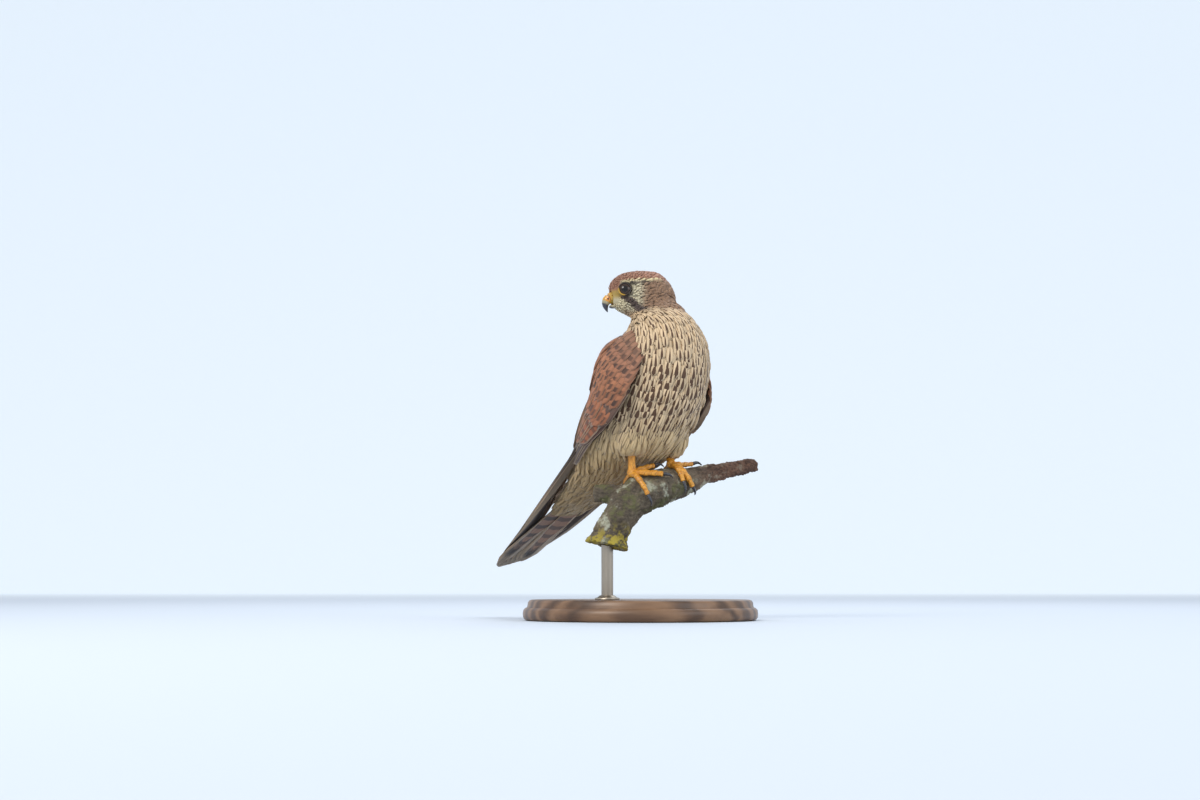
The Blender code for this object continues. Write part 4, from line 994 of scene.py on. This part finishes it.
def wing_at(side, distance, across, height):
    """Places on the folded wing: along it, across towards the back, and outwards."""
    keys = np.interp(distance, WING[:, 0], np.arange(len(WING)))
    row, ahead, behind = (rows_at(WING, keys + step) for step in (0.0, 0.05, -0.05))
    ways = np.array((FORWARD, LEFT * side, UP))
    if side > 0:
        row[:, 2] -= WING_TUCK * np.clip(1.0 - distance / TUCK_END, 0.0, None)
    middle = np.array(STANCE) + row[:, 1:4] @ ways
    tangent = unit((ahead - behind)[:, 1:4] @ ways)
    back = unit(np.cross(np.array(LEFT), tangent))
    roof = np.radians(row[:, 4])[:, None]
    outward = np.array(LEFT) * side * np.cos(roof) + back * np.sin(roof)
    outward = unit(outward - tangent * (outward * tangent).sum(axis=1)[:, None])
    chord = back - outward * (back * outward).sum(axis=1)[:, None]
    chord = unit(chord - tangent * (chord * tangent).sum(axis=1)[:, None])
    radius = row[:, 5] * np.where(across > 0.0, BACK_BEND, 1.0)
    turn = across / radius
    return (middle + chord * ((radius + height) * np.sin(turn))[:, None]
            + outward * ((radius + height) * np.cos(turn) - radius)[:, None])


def fan(count, half, front, back, low, high, tilt):
    """A row of feathers, each between the front one and the back one, slightly uneven."""
    share = np.linspace(0.0, 1.0, count)[:, None]
    ends = np.array(front) * (1.0 - share) + np.array(back) * share
    ends = ends + chance.normal(0.0, 1.0, (count, 4)) * (0.3, 0.25, 1.1, 0.5)
    halves = half * chance.uniform(0.94, 1.06, (count, 1))
    lifts = np.tile((low, high, tilt), (count, 1))
    lifts = lifts + chance.uniform(-0.12, 0.12, (count, 3)) * (0.5, 1.0, 0.15)
    return np.hstack((ends, halves, lifts))


def lay(sheet, shape, quills):
    """The vertices of one shape of feather on a sheet, for every row of a fan."""
    local = shape[0]
    along, half = quills[:, 2:3] - quills[:, 0:1], quills[:, 4:5]
    x, y, z = local[None, :, 0], local[None, :, 1], local[None, :, 2]
    distance = quills[:, 0:1] + along * y
    across = quills[:, 1:2] + (quills[:, 3:4] - quills[:, 1:2]) * y + x * half
    rise = quills[:, 5:6] + (quills[:, 6:7] - quills[:, 5:6]) * np.minimum(1.0, y / 0.45)
    height = rise - quills[:, 7:8] * x * half + z * half
    return sheet(distance.ravel(), across.ravel(), height.ravel()).reshape(len(quills), len(local), 3)


def dress(coat, sheet, shape, quills, ground, mark, pattern, roots, patch=PATCH):
    """Adds a fan of feathers, all of one colour and pattern, to a coat."""
    count = len(quills)
    tone = chance.normal(1.0, 0.06, (count, 1))
    rows = np.tile(pattern, (count, 1)) * chance.uniform(0.85, 1.15, (count, 3))
    rows = np.hstack((rows, chance.random((count, 1))))
    coat.add(shape, lay(sheet, shape, quills), roots, np.tile(ground, (count, 1)) * tone,
             np.tile(mark, (count, 1)), rows, patch)


def dress_long(coat, sheet, shape, quills, ground, mark, pattern, start, total):
    """Adds a fan of long feathers, each with a strip of the map of its own."""
    middles = (start + np.arange(len(quills)) + 0.5) / total
    roots = np.stack((middles, np.full(len(quills), 0.5)), axis=1)
    dress(coat, sheet, shape, quills, ground, mark, pattern, roots, (0.9 / total, MAP_ROOM))


quill_finish = plume("flight_feathers", 5.5, (3.0, 46.0, 9.0), 0.10)
covert_finish = plume("wing_coverts", 1.9, spot=1.0)
flesh_finish, wire = finish("wing_skin", {"Roughness": 0.85})
wire.grain(wire.place(), 600.0).blend((0.030, 0.018, 0.012), (0.060, 0.036, 0.024)).feed("Base Color")
for side, word in SIDES:
    sheet = partial(wing_at, side)
    arm = bmesh.new()
    bmesh.ops.create_uvsphere(arm, u_segments=28, v_segments=26, radius=1.0)
    shares = np.array([spot.co for spot in arm.verts])
    belt = np.hypot(shares[:, 0], shares[:, 1])
    arm_rows = rows_at(WING_ARM, (shares[:, 2] + 1.0) / 2.0 * (len(WING_ARM) - 1))
    shrink = np.minimum(1.0, belt / 0.35)
    around = shares[:, :2] / np.maximum(belt, 1e-6)[:, None]
    across = arm_rows[:, 1] + around[:, 0] * arm_rows[:, 2] * 0.92 * shrink
    spots = sheet(arm_rows[:, 0], across, around[:, 1] * arm_rows[:, 3] * shrink)
    for spot, place in zip(arm.verts, spots):
        spot.co = Vector(place) * MM
    bmesh.ops.recalc_face_normals(arm, faces=arm.faces)
    set_out(made("wing_skin_" + word, arm), flesh_finish, "wing_feathers")

    flight = Coat("flight_feathers_" + word)
    total = PRIMARIES + sum(row[0] for row in FLIGHT_ROWS)
    quills = fan(PRIMARIES, 6.4, (74, -14, LONGEST_PRIMARY, -3), (62, -2, SHORTEST_PRIMARY, 4), 0.0, 0.4, 0.2)
    quills[0, 2] = LONGEST_PRIMARY - 9.0
    quills[1, 2] = LONGEST_PRIMARY
    dress_long(flight, sheet, QUILL, quills, dye(60, 47, 42), SHADE, (0.05, 0.0, 0.5), 0, total)
    start = PRIMARIES
    for count, half, front, back, low, high, tilt, ground, bars, fringe in FLIGHT_ROWS:
        quills = fan(count, half, front, back, low, high, tilt)
        mark = DARK if bars else SHADE
        dress_long(flight, sheet, QUILL, quills, ground, mark, (0.05, bars, fringe), start, total)
        start += count
    flight.finish(quill_finish, "wing_feathers", "wing_" + word)

    coverts = Coat("wing_coverts_" + word)
    for count, half, front, back, low, high, tilt, ground, bars, fringe in COVERT_ROWS:
        quills = fan(count, half, front, back, low, high, tilt)
        mark = DARK if bars else SHADE
        roots = (quills[:, 0:2] + (14.0, 45.0)) / (260.0, 90.0)
        dress(coverts, sheet, COVERT, quills, ground, mark, (0.04, bars, fringe), roots)
    coverts.finish(covert_finish, "wing_feathers")

# Tail
# Twelve long feathers, closed, the middle pair on top, rufous with dark bars above and a broad
# dark band before the pale tip, greyer beneath. Coverts hide their roots above and below.

TAIL_ROOT, TAIL_SLOPE = (-24.0, 10.0), math.radians(28.0)
TAIL_START, TAIL_LENGTH, TAIL_PAIRS = 34.0, 166.0, 6
# Rows: root and tip along the tail, span and count
TAIL_COVERTS = ((26, 78, 17, 8), (18, 64, 20, 8), (10, 50, 22, 9), (4, 38, 23, 9))
RECTRIX = vane(8, 26, ((0.0, 0.45), (0.3, 0.85), (0.7, 1.0), (0.92, 0.92), (1.0, 0.5)), 0.045, 0.0, 0.04)


def tail_at(distance, across, height):
    """Places on the tail: along it from its root, to the left, and towards its upper side."""
    slope, drop = math.cos(TAIL_SLOPE), math.sin(TAIL_SLOPE)
    forward = TAIL_ROOT[0] - slope * distance - drop * height
    up = TAIL_ROOT[1] - drop * distance + slope * height
    return np.array(STANCE) + np.stack((forward, across, up), axis=1) @ np.array((FORWARD, LEFT, UP))


tail_finish = plume("tail_feathers", 9.5, (3.0, 60.0, 9.0), 0.06, 1.0)
tail = Coat("tail_feathers_all")
for i in range(TAIL_PAIRS):
    for side in (-1, 1):
        rise = 2.0 - 0.78 * (i + (0.5 if side > 0 else 0.0))
        reach = TAIL_LENGTH - 3.2 * i + chance.uniform(-0.6, 0.6)
        ends = (TAIL_START, side * 0.7 * i, reach, side * (0.7 + 1.7 * i))
        quills = np.array((ends + (9.4 - 0.25 * i, rise * 0.6, rise, 0.03 * side),))
        # Each pair that lies lower is a little darker: painted shade under the pairs above.
        tone_and_shade = 1.0 - 0.04 * i
        dress_long(tail, tail_at, RECTRIX, quills, dye(138, 102, 80) * tone_and_shade, DARK, (0.035, 0.9, 0.5),
                   2 * i + (side > 0), 2 * TAIL_PAIRS)
tail.finish(tail_finish, "tail_feathers", "tail")
tail_coverts = Coat("tail_coverts")
for upper, ground, bars in ((1, dye(146, 112, 86), 0.6), (-1, dye(186, 160, 122), 0.1)):
    for start, end, span, count in TAIL_COVERTS:
        narrow, wide = 0.6 * span, 0.72 * span
        quills = fan(count, 6.2, (start, -narrow, end - 6.0, -wide), (start, narrow, end - 6.0, wide),
                     upper * 2.6, upper * (3.3 + (26 - start) * 0.05), 0.0)
        quills[:, 2] += 6.0 * (1.0 - np.linspace(-1.0, 1.0, count) ** 2)
        halves = ((quills[:, 1] + 30.0) / 60.0 + (upper > 0)) / 2.0
        dress(tail_coverts, tail_at, COVERT, quills, ground, DARK, (0.06, bars, 0.3),
              np.stack((halves, quills[:, 0] / 90.0 + 0.03), axis=1))
tail_coverts.finish(feathers, "tail_feathers")

# Feet
# Bare orange-yellow legs and toes with rows of scutes, bent round the bark, and blue-black claws.

SCUTE = 1.9
SCUTE_RISE, SCUTE_SINK, SCUTE_NOISE = 0.22, 0.12, 0.05
FOOT_VOXEL, CLAW_VOXEL = 0.34, 0.2
for side, word in SIDES:
    hub = FEET[0] if side < 0 else FEET[1]
    toes = cast(("foot_" + word,), FOOT_VOXEL, 2)
    for spot in toes.verts:
        away = (spot.co / MM - hub).length
        ridge = abs(math.sin(math.pi * away / SCUTE)) ** 0.5
        lump = noise.noise(spot.co * 1500.0) * SCUTE_NOISE
        spot.co += spot.normal * (ridge * SCUTE_RISE - SCUTE_SINK + lump) * MM
    leather, wire = finish("scaled_leg_" + word, {"Roughness": 0.42, "Coat Weight": 0.1})
    scutes = wire.sum("ABSOLUTE", wire.sum("SINE", wire.away(hub * MM) * (math.pi / SCUTE / MM)))
    mottled = wire.grain(wire.place(), 420.0)
    skin_tone = mottled.ease(0.3, 0.75).blend((0.52, 0.20, 0.018), (0.78, 0.37, 0.045))
    ((1.0 - scutes.ease(0.0, 0.45)) * 0.6).blend(skin_tone, (0.20, 0.075, 0.012)).feed("Base Color")
    bump(wire.node("TexVoronoi", {"Vector": wire.place(), "Scale": 1500.0}), 0.35, 0.0002)
    set_out(made("scaled_foot_" + word, toes), leather, "leg_skin", "foot_" + word)
claw_horn, wire = finish("claw_horn", {"Roughness": 0.25, "Coat Weight": 0.5, "Coat Roughness": 0.1})
ridges = wire.grain(wire.place((1.0, 1.0, 0.4)), 900.0)
ridges.blend((0.012, 0.013, 0.018), (0.05, 0.052, 0.062)).feed("Base Color")
for _, word in SIDES:
    names = ["claw_" + word + "_" + toe for toe in ("hallux", "inner", "middle", "outer")]
    set_out(made("claws_" + word, cast(names, CLAW_VOXEL, 2)), claw_horn, "horn", *names)

# Camera, light and floor
# A pale sweep and soft panels, as bright as the overcast sky of the photograph, and the camera
# that frames the bird as the photograph does.

SWEEP_FRONT, SWEEP_BACK, SWEEP_RADIUS, SWEEP_TOP, SWEEP_HALF = -4.0, 3.5, 2.0, 6.0, 8.0
floor = bmesh.new()
bend = [math.pi / 2.0 * i / 24 for i in range(25)]
line = [(SWEEP_FRONT, 0.0)]
for turn in bend:
    line.append((SWEEP_BACK + SWEEP_RADIUS * math.sin(turn), SWEEP_RADIUS * (1.0 - math.cos(turn))))
line.append((SWEEP_BACK + SWEEP_RADIUS, SWEEP_TOP))
edge = [floor.verts.new((-SWEEP_HALF, y, z)) for y, z in line]
rails = [floor.edges.new(pair) for pair in zip(edge, edge[1:])]
drawn = bmesh.ops.extrude_edge_only(floor, edges=rails)["geom"]
moved = [item for item in drawn if isinstance(item, bmesh.types.BMVert)]
bmesh.ops.translate(floor, vec=(2.0 * SWEEP_HALF, 0.0, 0.0), verts=moved)
bmesh.ops.recalc_face_normals(floor, faces=floor.faces)
plaster, wire = finish("pale_floor", {"Roughness": 0.9, "Emission Strength": 0.22})
wall = wire.axis(1).ease(1.0, 3.6)
wall.blend((0.54, 0.60, 0.68), (0.72, 0.80, 0.90)).feed("Base Color")
wall.blend((0.0, 0.0, 0.0), (0.95, 0.95, 0.80)).feed("Emission Color")
floor_thing = made("floor", floor)
floor_thing.data.materials.append(plaster)
bpy.context.scene.collection.objects.link(floor_thing)

SKY_LIGHT, SKY_COLOUR = 0.9, (0.92, 0.95, 1.0, 1.0)
world = bpy.data.worlds.new("studio")
world.use_nodes = True
world.node_tree.nodes["Background"].inputs["Color"].default_value = SKY_COLOUR
world.node_tree.nodes["Background"].inputs["Strength"].default_value = SKY_LIGHT
bpy.context.scene.world = world
bpy.context.scene.view_settings.view_transform = "Standard"

BIRD = Vector((0.0, 0.0, 0.16))
for name, place, size, power, colour in (
    ("key", (-0.9, -1.1, 1.1), 0.7, 14.0, (1.0, 0.96, 0.9)),
    ("fill", (1.2, -0.8, 0.7), 0.9, 5.0, (0.9, 0.95, 1.0)),
    ("top", (0.2, 0.8, 1.4), 0.9, 10.0, (1.0, 1.0, 1.0)),
):
    panel = bpy.data.lights.new(name, "AREA")
    panel.size = size
    panel.energy = power
    panel.color = colour
    lamp = bpy.data.objects.new(name, panel)
    lamp.location = place
    lamp.rotation_euler = (BIRD - lamp.location).to_track_quat("-Z", "Y").to_euler()
    bpy.context.scene.collection.objects.link(lamp)

# Metres from the camera to the bird, and the width of what the photograph shows there
VIEW, SHOWN = 1.2, 0.822
CAMERA_PLACE, CAMERA_AIM = Vector((-0.0274, -VIEW, 0.0250)), Vector((-0.0274, 0.0, 0.1506))
camera_data = bpy.data.cameras.new("camera")
camera_data.lens = 36.0 * VIEW / SHOWN
camera = bpy.data.objects.new("camera", camera_data)
camera.location = CAMERA_PLACE
camera.rotation_euler = (CAMERA_AIM - CAMERA_PLACE).to_track_quat("-Z", "Y").to_euler()
bpy.context.scene.collection.objects.link(camera)
bpy.context.scene.camera = camera
